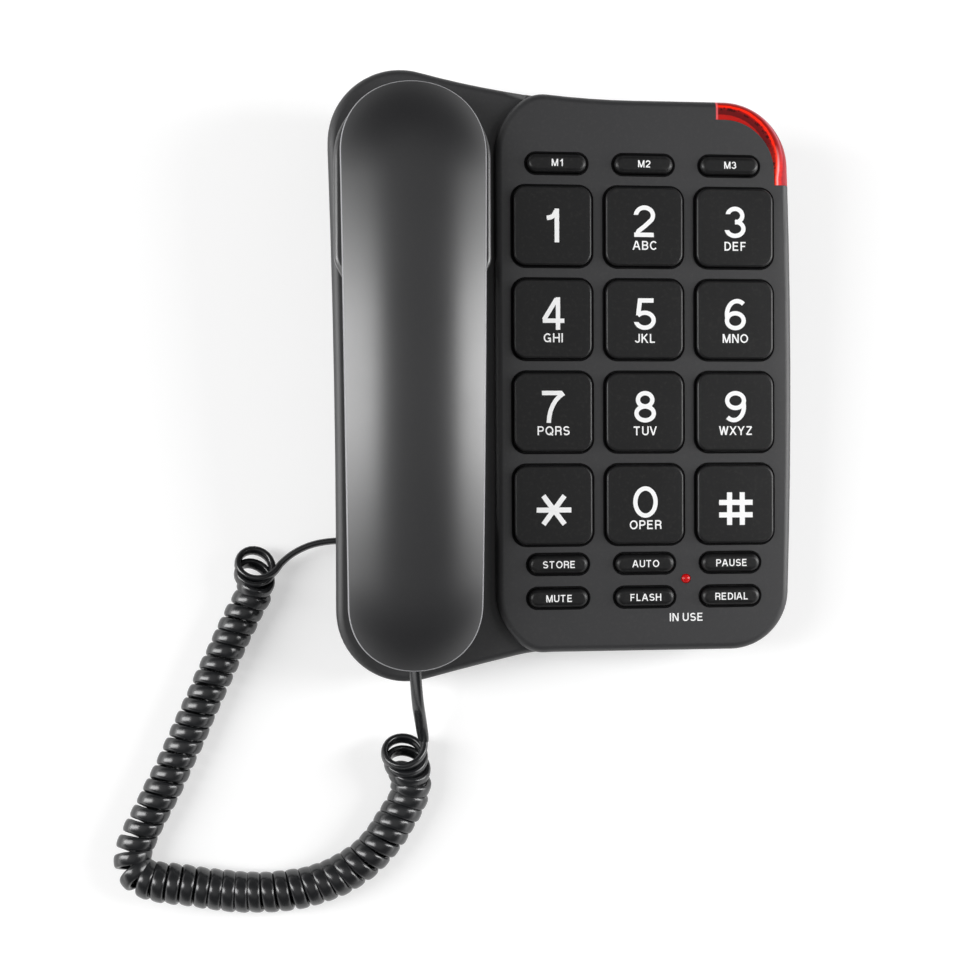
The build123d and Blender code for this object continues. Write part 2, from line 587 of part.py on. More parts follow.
base_jack_w = level_w(BASE_JACK_V, BASE_JACK_Z)
base_jack_wall = at(side_wall_u(BASE_LEFT + JACK_BOW, base_jack_w), BASE_JACK_V, base_jack_w)
ringer_wall_u = side_wall_u(BASE_RIGHT + BASE_RIGHT_BULGE - RINGER_BOW, RINGER_W)
LEFT_JACK = Plane(origin=base_jack_wall, x_dir=(0, -1, 0), z_dir=(-1, 0, 0))
LINE_JACK = Plane(origin=(LINE_JACK_X, rear_wall_y(LINE_JACK_Z), LINE_JACK_Z), x_dir=(-1, 0, 0), z_dir=(0, 1, 0))
MODE_SWITCH = Plane(origin=(MODE_X, rear_wall_y(MODE_Z), MODE_Z), x_dir=(-1, 0, 0), z_dir=(0, 1, 0))
RINGER_SWITCH = Plane(origin=at(ringer_wall_u, RINGER_V, RINGER_W), x_dir=FACE.y_dir, z_dir=FACE.x_dir)

with BuildPart() as base_bottom_shell:
    add(tray_block.part)
    add(tray_hollow.part, mode=Mode.SUBTRACT)
    # screws go in from below, deep inside their posts
    with BuildSketch(FACE.offset(SCREW_SEAT_W)):
        with Locations(*PANEL_SCREWS, *CRADLE_SCREWS):
            Circle(POST_BORE)
    extrude(amount=-TRAY_DEPTH, mode=Mode.SUBTRACT)
    with BuildSketch(FACE.offset(SCREW_SEAT_W)):
        with Locations(*PANEL_SCREWS, *CRADLE_SCREWS):
            Circle(SCREW_R + SCREW_CLEAR)
    extrude(amount=POST_TOP_W - SCREW_SEAT_W, mode=Mode.SUBTRACT)
    # seats of the feet
    with BuildSketch(Plane.XY.offset(FLOOR_BOTTOM)):
        with Locations(*FEET):
            Circle(FOOT_R + PLUG_FIT)
    extrude(amount=FOOT_SEAT, mode=Mode.SUBTRACT)
    # wall keyholes: a round entry with a slot towards the rear
    with BuildSketch(Plane.XY.offset(FLOOR_BOTTOM)):
        with Locations((0, -KEYHOLE_Y), (0, KEYHOLE_Y)):
            Circle(KEYHOLE_R)
            with Locations((0, KEYHOLE_SLOT / 2)):
                SlotCenterToCenter(KEYHOLE_SLOT, 2 * KEYHOLE_SLOT_R, rotation=90)
    extrude(amount=FLOOR_T, mode=Mode.SUBTRACT)
    # sound slots under the ringer
    with BuildSketch(Plane.XY.offset(FLOOR_BOTTOM)):
        with Locations((SPEAKER_X, SPEAKER_Y)):
            with GridLocations(0, SOUND_SLOT_PITCH, 1, SOUND_SLOTS):
                SlotOverall(SPEAKER_R, SOUND_SLOT_W)
    extrude(amount=FLOOR_T, mode=Mode.SUBTRACT)
    # windows in the walls
    with BuildSketch(LEFT_JACK):
        Rectangle(PLUG_W + 2 * WINDOW_GAP, PLUG_H + 2 * WINDOW_GAP)
    extrude(amount=WINDOW_DEPTH, both=True, mode=Mode.SUBTRACT)
    with BuildSketch(LINE_JACK):
        Rectangle(LINE_SOCKET_W + 2 * (JACK_WALL + PLUG_FIT), LINE_SOCKET_H + 2 * (JACK_WALL + PLUG_FIT))
    extrude(amount=WINDOW_DEPTH, both=True, mode=Mode.SUBTRACT)
    with BuildSketch(MODE_SWITCH):
        RectangleRounded(KNOB_L + KNOB_TRAVEL + 2 * WINDOW_GAP, KNOB_H + 2 * WINDOW_GAP, WINDOW_GAP)
    extrude(amount=WINDOW_DEPTH, both=True, mode=Mode.SUBTRACT)
    with BuildSketch(RINGER_SWITCH):
        RectangleRounded(KNOB_L + KNOB_TRAVEL + 2 * WINDOW_GAP, KNOB_H + 2 * WINDOW_GAP, WINDOW_GAP)
    extrude(amount=WINDOW_DEPTH, both=True, mode=Mode.SUBTRACT)
base_bottom_shell.part.label = "base_bottom_shell"
export_step(base_bottom_shell.part, "parts/base_bottom_shell.step")

with BuildPart() as base_screws:
    with BuildSketch(FACE.offset(SCREW_SEAT_W)):
        with Locations(*PANEL_SCREWS, *CRADLE_SCREWS):
            Circle(SCREW_HEAD_R)
    extrude(amount=-SCREW_HEAD_H)
    with BuildSketch(FACE.offset(SCREW_SEAT_W)):
        with Locations(*PANEL_SCREWS, *CRADLE_SCREWS):
            Circle(SCREW_R)
    extrude(amount=SCREW_TIP_W - SCREW_SEAT_W)
base_screws.part.label = "base_screws"
export_step(base_screws.part, "parts/base_screws.step")

with BuildPart() as rubber_feet:
    with BuildSketch():
        with Locations(*FEET):
            Circle(FOOT_R)
    extrude(amount=FOOT_H + FOOT_SEAT)
    chamfer(rubber_feet.faces().group_by(Axis.Z)[0].edges(), FOOT_SEAT)
rubber_feet.part.label = "rubber_feet"
export_step(rubber_feet.part, "parts/rubber_feet.step")

# ---------------------------------------------------------------- jacks, switches and what lies in the base
with BuildPart() as base_handset_jack:
    with BuildSketch(LEFT_JACK.offset(-JACK_SETBACK)):
        with Locations((0, PLUG_H / 2 + JACK_WALL)):
            Rectangle(
                PLUG_W + 2 * JACK_WALL,
                BASE_JACK_Z - FLOOR_TOP + PLUG_H / 2 + JACK_WALL,
                align=(Align.CENTER, Align.MAX),
            )
    extrude(amount=-PLUG_L - JACK_WALL)
    with BuildSketch(LEFT_JACK.offset(-JACK_SETBACK)):
        Rectangle(PLUG_W + 2 * PLUG_FIT, PLUG_H + 2 * PLUG_FIT)
    extrude(amount=JACK_SETBACK + PLUG_PROUD - PLUG_L - PLUG_FIT, mode=Mode.SUBTRACT)
base_handset_jack.part.label = "base_handset_jack"
export_step(base_handset_jack.part, "parts/base_handset_jack.step")

with BuildPart() as base_cord_plug:
    with BuildSketch(LEFT_JACK.offset(PLUG_PROUD)):
        Rectangle(PLUG_W, PLUG_H)
    extrude(amount=-PLUG_L)
    chamfer(base_cord_plug.faces().sort_by(Axis.X)[-1].edges(), PLUG_CHAMFER)
base_cord_plug.part.label = "base_cord_plug"
export_step(base_cord_plug.part, "parts/base_cord_plug.step")

with BuildPart() as line_jack:
    with BuildSketch(LINE_JACK.offset(-PLUG_FIT)):
        Rectangle(LINE_SOCKET_W + 2 * JACK_WALL, LINE_SOCKET_H + 2 * JACK_WALL)
    extrude(amount=-WALL - JACK_WALL)
    with BuildSketch(LINE_JACK.offset(-WALL - JACK_WALL)):
        with Locations((0, (FLOOR_TOP - LINE_JACK_Z + LINE_SOCKET_H / 2 + JACK_WALL) / 2)):
            Rectangle(
                LINE_SOCKET_W + 2 * JACK_WALL + WALL, LINE_JACK_Z - FLOOR_TOP + LINE_SOCKET_H / 2 + JACK_WALL
            )
    extrude(amount=-LINE_SOCKET_L)
    with BuildSketch(LINE_JACK):
        Rectangle(LINE_SOCKET_W, LINE_SOCKET_H)
        with Locations((0, -LINE_SOCKET_H / 2)):
            Rectangle(LINE_SOCKET_W * LATCH_SHARE, 2 * LATCH_DEPTH)
    extrude(amount=-LINE_SOCKET_L, mode=Mode.SUBTRACT)
line_jack.part.label = "line_jack"
export_step(line_jack.part, "parts/line_jack.step")

for name, plane, depth in (
    ("dial_mode_switch", MODE_SWITCH, MODE_SETBACK),
    ("ringer_switch", RINGER_SWITCH, RINGER_SETBACK),
):
    with BuildPart() as switch_body:
        with BuildSketch(plane.offset(-depth)):
            RectangleRounded(SWITCH_L, SWITCH_H, WINDOW_GAP)
            Rectangle(KNOB_L + KNOB_TRAVEL + 2 * WINDOW_GAP, KNOB_H + 2 * WINDOW_GAP, mode=Mode.SUBTRACT)
        extrude(amount=-SWITCH_DEPTH / 2)
        with BuildSketch(plane.offset(-depth - SWITCH_DEPTH / 2)):
            RectangleRounded(SWITCH_L, SWITCH_H, WINDOW_GAP)
        extrude(amount=-SWITCH_DEPTH / 2)
    switch_body.part.label = f"{name}_body"
    export_step(switch_body.part, f"parts/{name}_body.step")
    with BuildPart() as switch_knob:
        with BuildSketch(plane.offset(KNOB_PROUD)):
            with Locations((-KNOB_TRAVEL / 2, 0)):
                Rectangle(KNOB_L, KNOB_H)
        extrude(amount=-KNOB_PROUD - depth - SWITCH_DEPTH / 2 + KNOB_SEAT)
        fillet(switch_knob.faces().sort_by(Axis(plane.origin, plane.z_dir))[-1].edges(), KNOB_SEAT)
    switch_knob.part.label = f"{name}_knob"
    export_step(switch_knob.part, f"parts/{name}_knob.step")

with BuildPart() as hook_plunger:
    with BuildSketch(FACE.offset(HOOK_UNDER_W)):
        with Locations((HS_U, HOOK_V)):
            RectangleRounded(HOOK_L, HOOK_W, HOOK_W / 4)
    extrude(amount=WELL_FLOOR_W - HOOK_UNDER_W)
    fillet(hook_plunger.faces().sort_by(OUTWARD)[-1].edges(), HOOK_GAP)
    with BuildSketch(FACE.offset(HOOK_UNDER_W)):
        with Locations((HS_U, HOOK_V)):
            RectangleRounded(HOOK_L + 2 * HOOK_FLANGE, HOOK_W + 2 * HOOK_FLANGE, HOOK_W / 4)
    extrude(amount=HOOK_FLANGE)
hook_plunger.part.label = "hook_plunger"
export_step(hook_plunger.part, "parts/hook_plunger.step")

with BuildPart() as hook_switch:
    with BuildSketch(FACE.offset(HOOK_UNDER_W - HANDSET_SEAT)):
        with Locations((HS_U, HOOK_V)):
            Rectangle(HOOK_SWITCH_L, HOOK_SWITCH_W)
    extrude(amount=-HOOK_SWITCH_H)
hook_switch.part.label = "hook_switch"
export_step(hook_switch.part, "parts/hook_switch.step")

with BuildPart() as ringer_speaker:
    with BuildSketch(Plane.XY.offset(FLOOR_TOP)):
        with Locations((SPEAKER_X, SPEAKER_Y)):
            Circle(SPEAKER_R)
    extrude(amount=SPEAKER_H / 2)
    with BuildSketch(Plane.XY.offset(FLOOR_TOP + SPEAKER_H / 2)):
        with Locations((SPEAKER_X, SPEAKER_Y)):
            Circle(SPEAKER_R * MAGNET_SHARE)
    extrude(amount=SPEAKER_H / 2)
ringer_speaker.part.label = "ringer_speaker"
export_step(ringer_speaker.part, "parts/ringer_speaker.step")

with BuildPart() as ballast_plate:
    with BuildSketch(Plane.XY.offset(FLOOR_TOP)):
        with Locations((BALLAST_X, BALLAST_Y)):
            RectangleRounded(BALLAST_W, BALLAST_L, BALLAST_T)
    extrude(amount=BALLAST_T)
ballast_plate.part.label = "ballast_plate"
export_step(ballast_plate.part, "parts/ballast_plate.step")

# ---------------------------------------------------------------- handset
CROWN_CENTRE = at(HS_U, 0, CROWN_W - CROWN_R)
FRONT_TOP_R = CROWN_R - RIM_DEPTH - HS_REVEAL
HS_SEAT_W = GRIP_W + HS_SCREW_SINK
HS_POST_W = HS_SEAT_W + HS_WALL
HS_BOSS_W = HS_POST_W + POST_GAP
HS_TIP_W = HS_SEAT_W + HS_SCREW_LENGTH
CUP_FLOOR_W = CUP_W + HS_WALL
GRIP_FLOOR_W = GRIP_W + HS_WALL
HS_RECESS_R = POST_BORE + SCREW_CLEAR


def crown(inset=0.0):
    """Solid under the crown: a long arc with a round back and round ends, moved inwards by inset."""
    side_r = CROWN_SIDE_R - inset
    ear_angle = EAR_V / CROWN_R
    mouth_angle = MOUTH_V / CROWN_R
    with BuildPart() as body:
        for angle, turn in ((ear_angle, 1), (mouth_angle, -1)):
            radial = FACE.z_dir * cos(angle) + FACE.y_dir * sin(angle)
            across = FACE.y_dir * cos(angle) - FACE.z_dir * sin(angle)
            end_plane = Plane(origin=CROWN_CENTRE, x_dir=FACE.x_dir, z_dir=across * -1)
            with BuildSketch(end_plane) as half:
                with Locations((0, CROWN_R - CROWN_SIDE_R)):
                    Circle(side_r)
                with Locations((0, CROWN_R - CROWN_SIDE_R)):
                    Rectangle(FAR, FAR, align=(Align.MIN, Align.MIN), mode=Mode.INTERSECT)
            revolve(half.sketch, axis=Axis(CROWN_CENTRE, radial), revolution_arc=180 * turn)
        with BuildSketch(Plane(origin=CROWN_CENTRE, x_dir=FACE.x_dir, z_dir=FACE.y_dir * -1)) as whole:
            with Locations((0, CROWN_R - CROWN_SIDE_R)):
                Circle(side_r)
                Rectangle(FAR, FAR, align=(Align.CENTER, Align.MIN), mode=Mode.INTERSECT)
        start = whole.sketch.rotate(Axis(CROWN_CENTRE, FACE.x_dir), -EAR_V / CROWN_R * 180 / pi)
        revolve(start, axis=Axis(CROWN_CENTRE, FACE.x_dir), revolution_arc=(EAR_V - MOUTH_V) / CROWN_R * 180 / pi)
    return body.part


def under_crease(radius):
    """Cylinder across the handset whose top is the joint of its two shells."""
    across = Plane(origin=CROWN_CENTRE, x_dir=FACE.y_dir, z_dir=FACE.x_dir)
    with BuildPart() as cylinder:
        with BuildSketch(across.offset(-FAR / 2)):
            Circle(radius)
        extrude(amount=FAR)
    return cylinder.part


def arch(grow=0.0):
    """Space between the two cups and under the grip, seen from the side."""
    with BuildSketch(side_plane(HS_U)) as side:
        with BuildLine():
            Polyline(
                (EAR_ARCH_V, CUP_W),
                (EAR_ARCH_V - ARCH_LEAN, GRIP_W),
                (MOUTH_ARCH_V + ARCH_LEAN, GRIP_W),
                (MOUTH_ARCH_V, CUP_W),
                (MOUTH_ARCH_V, -FAR / 2),
                (EAR_ARCH_V, -FAR / 2),
                close=True,
            )
        make_face()
        fillet(side.vertices().group_by(OUTWARD)[-1], ARCH_R)
        if grow:
            offset(amount=grow, kind=Kind.INTERSECTION)
    return side.sketch


with BuildPart() as handset_cover:
    with BuildSketch(FACE.offset(GRIP_W)):
        add(handset_outline())
    extrude(amount=2 * CROWN_W)
    add(crown(), mode=Mode.INTERSECT)
    add(under_crease(CROWN_R - RIM_DEPTH), mode=Mode.SUBTRACT)
    with BuildPart(mode=Mode.SUBTRACT):
        with BuildSketch(FACE.offset(GRIP_W)):
            add(handset_outline(HS_WALL))
        extrude(amount=2 * CROWN_W)
        add(crown(HS_WALL), mode=Mode.INTERSECT)
    # bosses for the two screws of the handset
    with BuildSketch(FACE.offset(HS_BOSS_W)):
        with Locations(*HS_SCREW_SPOTS):
            Circle(BOSS_R)
    extrude(amount=CROWN_W - HS_WALL - HS_BOSS_W)
    with BuildSketch(FACE.offset(HS_BOSS_W)):
        with Locations(*HS_SCREW_SPOTS):
            Circle(SCREW_R + BORE_CLEAR)
    extrude(amount=HS_TIP_W + POST_GAP - HS_BOSS_W, mode=Mode.SUBTRACT)
handset_cover.part.label = "handset_cover"
export_step(handset_cover.part, "parts/handset_cover.step")

with BuildPart() as front_block:
    with BuildSketch(FACE.offset(CREASE_MIDDLE_W)):
        add(handset_outline(HS_INSET))
    extrude(amount=CUP_W - CREASE_MIDDLE_W, taper=HS_DRAFT)
    add(under_crease(FRONT_TOP_R), mode=Mode.INTERSECT)
    extrude(arch(), amount=FAR, both=True, mode=Mode.SUBTRACT)
    fillet(front_block.faces().filter_by(OUTWARD).group_by(OUTWARD)[0].edges(), CUP_EDGE_R)

with BuildPart() as front_hollow:
    with BuildSketch(FACE.offset(CREASE_MIDDLE_W)):
        add(handset_outline(HS_INSET + HS_WALL))
    extrude(amount=CUP_FLOOR_W - CREASE_MIDDLE_W, taper=HS_DRAFT)
    extrude(arch(HS_WALL), amount=FAR, both=True, mode=Mode.SUBTRACT)
    with BuildSketch(FACE.offset(GRIP_FLOOR_W)):
        with Locations(*HS_SCREW_SPOTS):
            Circle(HS_RECESS_R + HS_WALL)
    extrude(amount=HS_POST_W - GRIP_FLOOR_W, mode=Mode.SUBTRACT)

# a shoulder stands out round the ear cup and rests over the cradle
with BuildPart() as shoulder:
    with BuildSketch(FACE.offset(SHOULDER_W)) as rim:
        with Locations((HS_U, EAR_V)):
            Ellipse(SHOULDER_R, EAR_R - HS_INSET)
        with BuildLine():
            Polyline(
                (HS_U - SHOULDER_R, EAR_V),
                (HS_U - SHOULDER_R, SHOULDER_V),
                (HS_U - MOUTH_R, SHOULDER_V - SHOULDER_RAMP),
                (HS_U + MOUTH_R, SHOULDER_V - SHOULDER_RAMP),
                (HS_U + SHOULDER_R, SHOULDER_V),
                (HS_U + SHOULDER_R, EAR_V),
                close=True,
            )
        make_face()
        fillet(rim.vertices().filter_by_position(Axis.Y, SHOULDER_V - 1, SHOULDER_V + 1), SHOULDER_RAMP)
    extrude(amount=SHOULDER_TOP_W - SHOULDER_W)
    fillet(shoulder.faces().filter_by(OUTWARD).edges(), SHOULDER_EDGE_R)
    extrude(arch(), amount=FAR, both=True, mode=Mode.SUBTRACT)

hs_wall_v = MOUTH_V - MOUTH_R + cup_inset(HS_JACK_W)
HANDSET_JACK = Plane(origin=at(HS_U, hs_wall_v, HS_JACK_W), x_dir=FACE.x_dir, z_dir=FACE.y_dir * -1)

with BuildPart() as handset_front_shell:
    add(front_block.part)
    add(shoulder.part)
    add(front_hollow.part, mode=Mode.SUBTRACT)
    # sound holes of the earpiece and of the microphone
    with BuildSketch(FACE.offset(CUP_W)):
        with Locations((HS_U, EAR_V)):
            Circle(EAR_HOLE_R)
            with PolarLocations(EAR_RING_R, EAR_HOLES):
                Circle(EAR_HOLE_R)
        with Locations((HS_U, MOUTH_V)):
            with GridLocations(MOUTH_HOLE_PITCH, 0, 3, 1):
                Circle(MOUTH_HOLE_R)
    extrude(amount=HS_WALL, mode=Mode.SUBTRACT)
    # screw recesses under the grip
    with BuildSketch(FACE.offset(GRIP_W)):
        with Locations(*HS_SCREW_SPOTS):
            Circle(HS_RECESS_R)
    extrude(amount=HS_SCREW_SINK, mode=Mode.SUBTRACT)
    with BuildSketch(FACE.offset(HS_SEAT_W)):
        with Locations(*HS_SCREW_SPOTS):
            Circle(SCREW_R + SCREW_CLEAR)
    extrude(amount=HS_WALL, mode=Mode.SUBTRACT)
    with BuildSketch(HANDSET_JACK):
        Rectangle(PLUG_W + 2 * WINDOW_GAP, PLUG_H + 2 * WINDOW_GAP)
    extrude(amount=HS_JACK_SETBACK, both=True, mode=Mode.SUBTRACT)
handset_front_shell.part.label = "handset_front_shell"
export_step(handset_front_shell.part, "parts/handset_front_shell.step")

with BuildPart() as handset_screws:
    with BuildSketch(FACE.offset(HS_SEAT_W)):
        with Locations(*HS_SCREW_SPOTS):
            Circle(SCREW_HEAD_R)
    extrude(amount=-SCREW_HEAD_H)
    with BuildSketch(FACE.offset(HS_SEAT_W)):
        with Locations(*HS_SCREW_SPOTS):
            Circle(SCREW_R)
    extrude(amount=HS_SCREW_LENGTH)
handset_screws.part.label = "handset_screws"
export_step(handset_screws.part, "parts/handset_screws.step")

with BuildPart() as ear_receiver:
    with BuildSketch(FACE.offset(CUP_FLOOR_W)):
        with Locations((HS_U, EAR_V)):
            Circle(RECEIVER_R)
    extrude(amount=RECEIVER_H / 2)
    with BuildSketch(FACE.offset(CUP_FLOOR_W + RECEIVER_H / 2)):
        with Locations((HS_U, EAR_V)):
            Circle(RECEIVER_R * MAGNET_SHARE)
    extrude(amount=RECEIVER_H / 2)
ear_receiver.part.label = "ear_receiver"
export_step(ear_receiver.part, "parts/ear_receiver.step")

with BuildPart() as mic_capsule:
    with BuildSketch(FACE.offset(CUP_FLOOR_W)):
        with Locations((HS_U, MOUTH_V)):
            Circle(MIC_R)
    extrude(amount=MIC_H)
mic_capsule.part.label = "mic_capsule"
export_step(mic_capsule.part, "parts/mic_capsule.step")

with BuildPart() as mic_boot:
    with BuildSketch(FACE.offset(CUP_FLOOR_W)):
        with Locations((HS_U, MOUTH_V)):
            Circle(MIC_R + BOOT_WALL)
            Circle(MIC_R, mode=Mode.SUBTRACT)
    extrude(amount=MIC_H)
mic_boot.part.label = "mic_boot"
export_step(mic_boot.part, "parts/mic_boot.step")

with BuildPart() as handset_weight:
    with BuildSketch(FACE.offset(GRIP_FLOOR_W)):
        with Locations((HS_U, WEIGHT_V)):
            RectangleRounded(WEIGHT_W, WEIGHT_L, HS_WALL)
    extrude(amount=WEIGHT_H)
handset_weight.part.label = "handset_weight"
export_step(handset_weight.part, "parts/handset_weight.step")

# the jack's flange lies behind the end wall and its foot stands on the cup's floor
with BuildPart() as handset_jack:
    with BuildSketch(HANDSET_JACK.offset(-HS_JACK_SETBACK)):
        Rectangle(PLUG_W + 2 * JACK_WALL, PLUG_H + 2 * JACK_WALL)
    extrude(amount=PLUG_PROUD - PLUG_L + HS_JACK_SETBACK - JACK_WALL)
    with BuildSketch(HANDSET_JACK):
        Rectangle(PLUG_W + 2 * PLUG_FIT, PLUG_H + 2 * PLUG_FIT)
    extrude(amount=PLUG_PROUD - PLUG_L - PLUG_FIT, mode=Mode.SUBTRACT)
handset_jack.part.label = "handset_jack"
export_step(handset_jack.part, "parts/handset_jack.step")

with BuildPart() as handset_cord_plug:
    with BuildSketch(HANDSET_JACK.offset(PLUG_PROUD)):
        Rectangle(PLUG_W, PLUG_H)
    extrude(amount=-PLUG_L)
    chamfer(handset_cord_plug.faces().sort_by(Axis.Y)[-1].edges(), PLUG_CHAMFER)
handset_cord_plug.part.label = "handset_cord_plug"
export_step(handset_cord_plug.part, "parts/handset_cord_plug.step")

# ---------------------------------------------------------------- cord
COIL_Z = COIL_D / 2
base_exit = LEFT_JACK.from_local_coords(Vector(0, 0, PLUG_PROUD))
handset_exit = HANDSET_JACK.from_local_coords(Vector(0, 0, PLUG_PROUD))
COIL_START = (-101.2, -62.5, COIL_Z)
COIL_END = (-51.1, -127.0, COIL_Z)
BASE_TAIL = [LEFT_JACK.from_local_coords(Vector(0, 0, PLUG_PROUD + CORD_LEAD)), (-97.1, -52.8, COIL_Z)]
COIL = [
    (-109.2, -81.5, COIL_Z),
    (-123.0, -108.5, COIL_Z),
    (-136.2, -139.6, COIL_Z),
    (-145.5, -156.0, COIL_Z),
    (-136.8, -170.0, COIL_Z),
    (-109.5, -170.8, COIL_Z),
    (-83.5, -168.6, COIL_Z),
    (-62.8, -157.6, COIL_Z),
    (-52.5, -141.8, COIL_Z),
]
HANDSET_TAIL = [
    (-50.2, -117.5, COIL_Z),
    (-50.4, -111.5, 18.0),
    HANDSET_JACK.from_local_coords(Vector(0, 0, PLUG_PROUD + CORD_LEAD)),
]


def cord_tube(points, diameter):
    """Round cord along straight runs that are joined by tangent arcs."""
    spots = [Vector(*point) for point in points]
    runs = [b - a for a, b in zip(spots, spots[1:])]
    radii = [
        0.45 * min(a.length, b.length) / tan(radians(a.get_angle(b)) / 2) for a, b in zip(runs, runs[1:])
    ]
    with BuildPart() as tube:
        with BuildLine() as path:
            FilletPolyline(*spots, radius=radii)
        with BuildSketch(Plane(origin=spots[0], z_dir=runs[0])):
            Circle(diameter / 2)
        sweep(path=path.wires()[0])
    share = tube.part.volume / (pi * diameter**2 / 4 * path.wires()[0].length)
    print("bends", [round(radius, 1) for radius in radii], "volume over section times length", round(share, 3))
    return tube.part


cord_tail_base = cord_tube([base_exit, *BASE_TAIL, COIL_START], CORD_W)
cord_tail_base.label = "cord_tail_base"
export_step(cord_tail_base, "parts/cord_tail_base.step")

cord_coil = cord_tube([COIL_START, *COIL, COIL_END], COIL_D)
cord_coil.label = "cord_coil"
export_step(cord_coil, "parts/cord_coil.step")

cord_tail_handset = cord_tube([COIL_END, *HANDSET_TAIL, handset_exit], CORD_W)
cord_tail_handset.label = "cord_tail_handset"
export_step(cord_tail_handset, "parts/cord_tail_handset.step")
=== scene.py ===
"""Looks of a corded desk telephone with large keys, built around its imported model.

The telephone's face slopes, so its pieces are described on the face plane in millimetres: u runs right, v
runs up the slope and w stands out of the face, with w = 0 on the key panel. Every mesh is written in metres
in the world frame.
"""

import logging
import math
from dataclasses import dataclass, field
from enum import Enum

import bmesh
import bpy
import numpy as np
from mathutils import Matrix, Vector


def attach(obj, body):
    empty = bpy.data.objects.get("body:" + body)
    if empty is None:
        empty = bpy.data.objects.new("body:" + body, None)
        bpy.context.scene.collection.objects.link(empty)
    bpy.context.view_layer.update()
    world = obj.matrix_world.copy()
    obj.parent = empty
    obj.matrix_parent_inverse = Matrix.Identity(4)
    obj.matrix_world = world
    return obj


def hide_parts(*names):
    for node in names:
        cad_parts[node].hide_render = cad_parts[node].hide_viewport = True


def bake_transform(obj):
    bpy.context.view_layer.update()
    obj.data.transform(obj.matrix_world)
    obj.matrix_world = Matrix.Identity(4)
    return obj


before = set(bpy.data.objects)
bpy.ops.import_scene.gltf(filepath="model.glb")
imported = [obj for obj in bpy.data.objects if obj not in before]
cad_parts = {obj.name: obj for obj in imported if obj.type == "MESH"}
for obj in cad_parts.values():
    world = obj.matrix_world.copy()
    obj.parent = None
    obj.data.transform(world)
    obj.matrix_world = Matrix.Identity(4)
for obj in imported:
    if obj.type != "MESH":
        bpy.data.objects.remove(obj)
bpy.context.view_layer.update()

log = logging.getLogger("telephone")
MM = 0.001
Colour = tuple[float, float, float]
Socket = bpy.types.NodeSocket
Waves = tuple[tuple[float, float, float], ...]


def srgb(red: float, green: float, blue: float) -> Colour:
    """Linear colour of display values from 0 to 255.

    Args:
        red, green, blue: display values.
    Returns:
        The three linear parts.
    """
    shares = np.array([red, green, blue]) / 255.0
    linear = np.where(shares <= 0.04045, shares / 12.92, ((shares + 0.055) / 1.055) ** 2.4)
    return tuple(float(part) for part in linear)


def scaled(colour: Colour, share: float) -> Colour:
    """A colour with each of its linear parts times share."""
    return tuple(share * part for part in colour)


def smoothstep(low: float, high: float, value: np.ndarray) -> np.ndarray:
    """Share from 0 at low to 1 at high that leaves and arrives gently: 3t^2 - 2t^3.

    Args:
        low, high: where the step begins and ends.
        value: numbers to place on the step.
    Returns:
        The shares.
    """
    t = np.clip((value - low) / (high - low), 0.0, 1.0)
    return t * t * (3.0 - 2.0 * t)


def units(rows: np.ndarray) -> np.ndarray:
    """Each row divided by its length."""
    return rows / np.linalg.norm(rows, axis=1)[:, None]


def waves(terms: Waves, s: np.ndarray) -> np.ndarray:
    """Sum of a sin(k s + p) over terms of a, k and p."""
    return sum(a * np.sin(k * s + p) for a, k, p in terms)


# ---------------------------------------------------------------- the face plane
@dataclass(frozen=True)
class FacePlane:
    """The sloping face that carries the keys and the handset."""

    tilt: float = math.radians(7.5)
    origin: tuple[float, float, float] = (27.1, 2.0, 39.0)

    @property
    def axes(self) -> np.ndarray:
        """World directions of u, v and w, one to a row."""
        c, s = math.cos(self.tilt), math.sin(self.tilt)
        return np.array([[1.0, 0.0, 0.0], [0.0, c, s], [0.0, -s, c]])

    def world(self, points: np.ndarray) -> np.ndarray:
        """World points in metres of face points in millimetres: origin + u U + v V + w W.

        Args:
            points: rows of u, v, w.
        Returns:
            Rows of x, y, z.
        """
        return (np.asarray(points, float) @ self.axes + np.array(self.origin)) * MM


FACE = FacePlane()


# ---------------------------------------------------------------- mesh helpers
def mesh_object(
    name: str, points: np.ndarray, faces: np.ndarray | list, smooth: bool = True
) -> bpy.types.Object:
    """A mesh object at the origin from world points and faces, reported in the log.

    Args:
        name: name of the piece.
        points: rows of x, y, z in metres.
        faces: rows of corner numbers.
        smooth: whether its faces are shaded smooth.
    Returns:
        The linked object.
    """
    mesh = bpy.data.meshes.new(name)
    mesh.from_pydata(np.asarray(points, float).tolist(), [], [list(map(int, face)) for face in faces])
    mesh.polygons.foreach_set("use_smooth", np.full(len(mesh.polygons), smooth))
    mesh.update()
    made = bpy.data.objects.new(name, mesh)
    bpy.context.scene.collection.objects.link(made)
    log.info("%s: made with %d faces", name, len(mesh.polygons))
    return made


def read_rows(items: bpy.types.bpy_prop_collection, label: str, kind: type) -> np.ndarray:
    """One property of a mesh's items, three numbers to a row.

    Args:
        items: vertices or loop triangles.
        label: name of the property.
        kind: type of its numbers.
    Returns:
        The rows.
    """
    numbers = np.empty(len(items) * 3, kind)
    items.foreach_get(label, numbers)
    return numbers.reshape(-1, 3)


def grid_faces(rows: int, columns: int, ring: bool) -> np.ndarray:
    """Corner numbers of the quads of a grid of points that is stored row by row.

    Args:
        rows, columns: size of the grid.
        ring: whether the last column joins the first.
    Returns:
        An array with four corner numbers to a quad.
    """
    r, c = np.meshgrid(np.arange(rows - 1), np.arange(columns if ring else columns - 1), indexing="ij")
    here, right = r * columns + c, r * columns + (c + 1) % columns
    return np.stack([here, right, right + columns, here + columns], axis=-1).reshape(-1, 4)


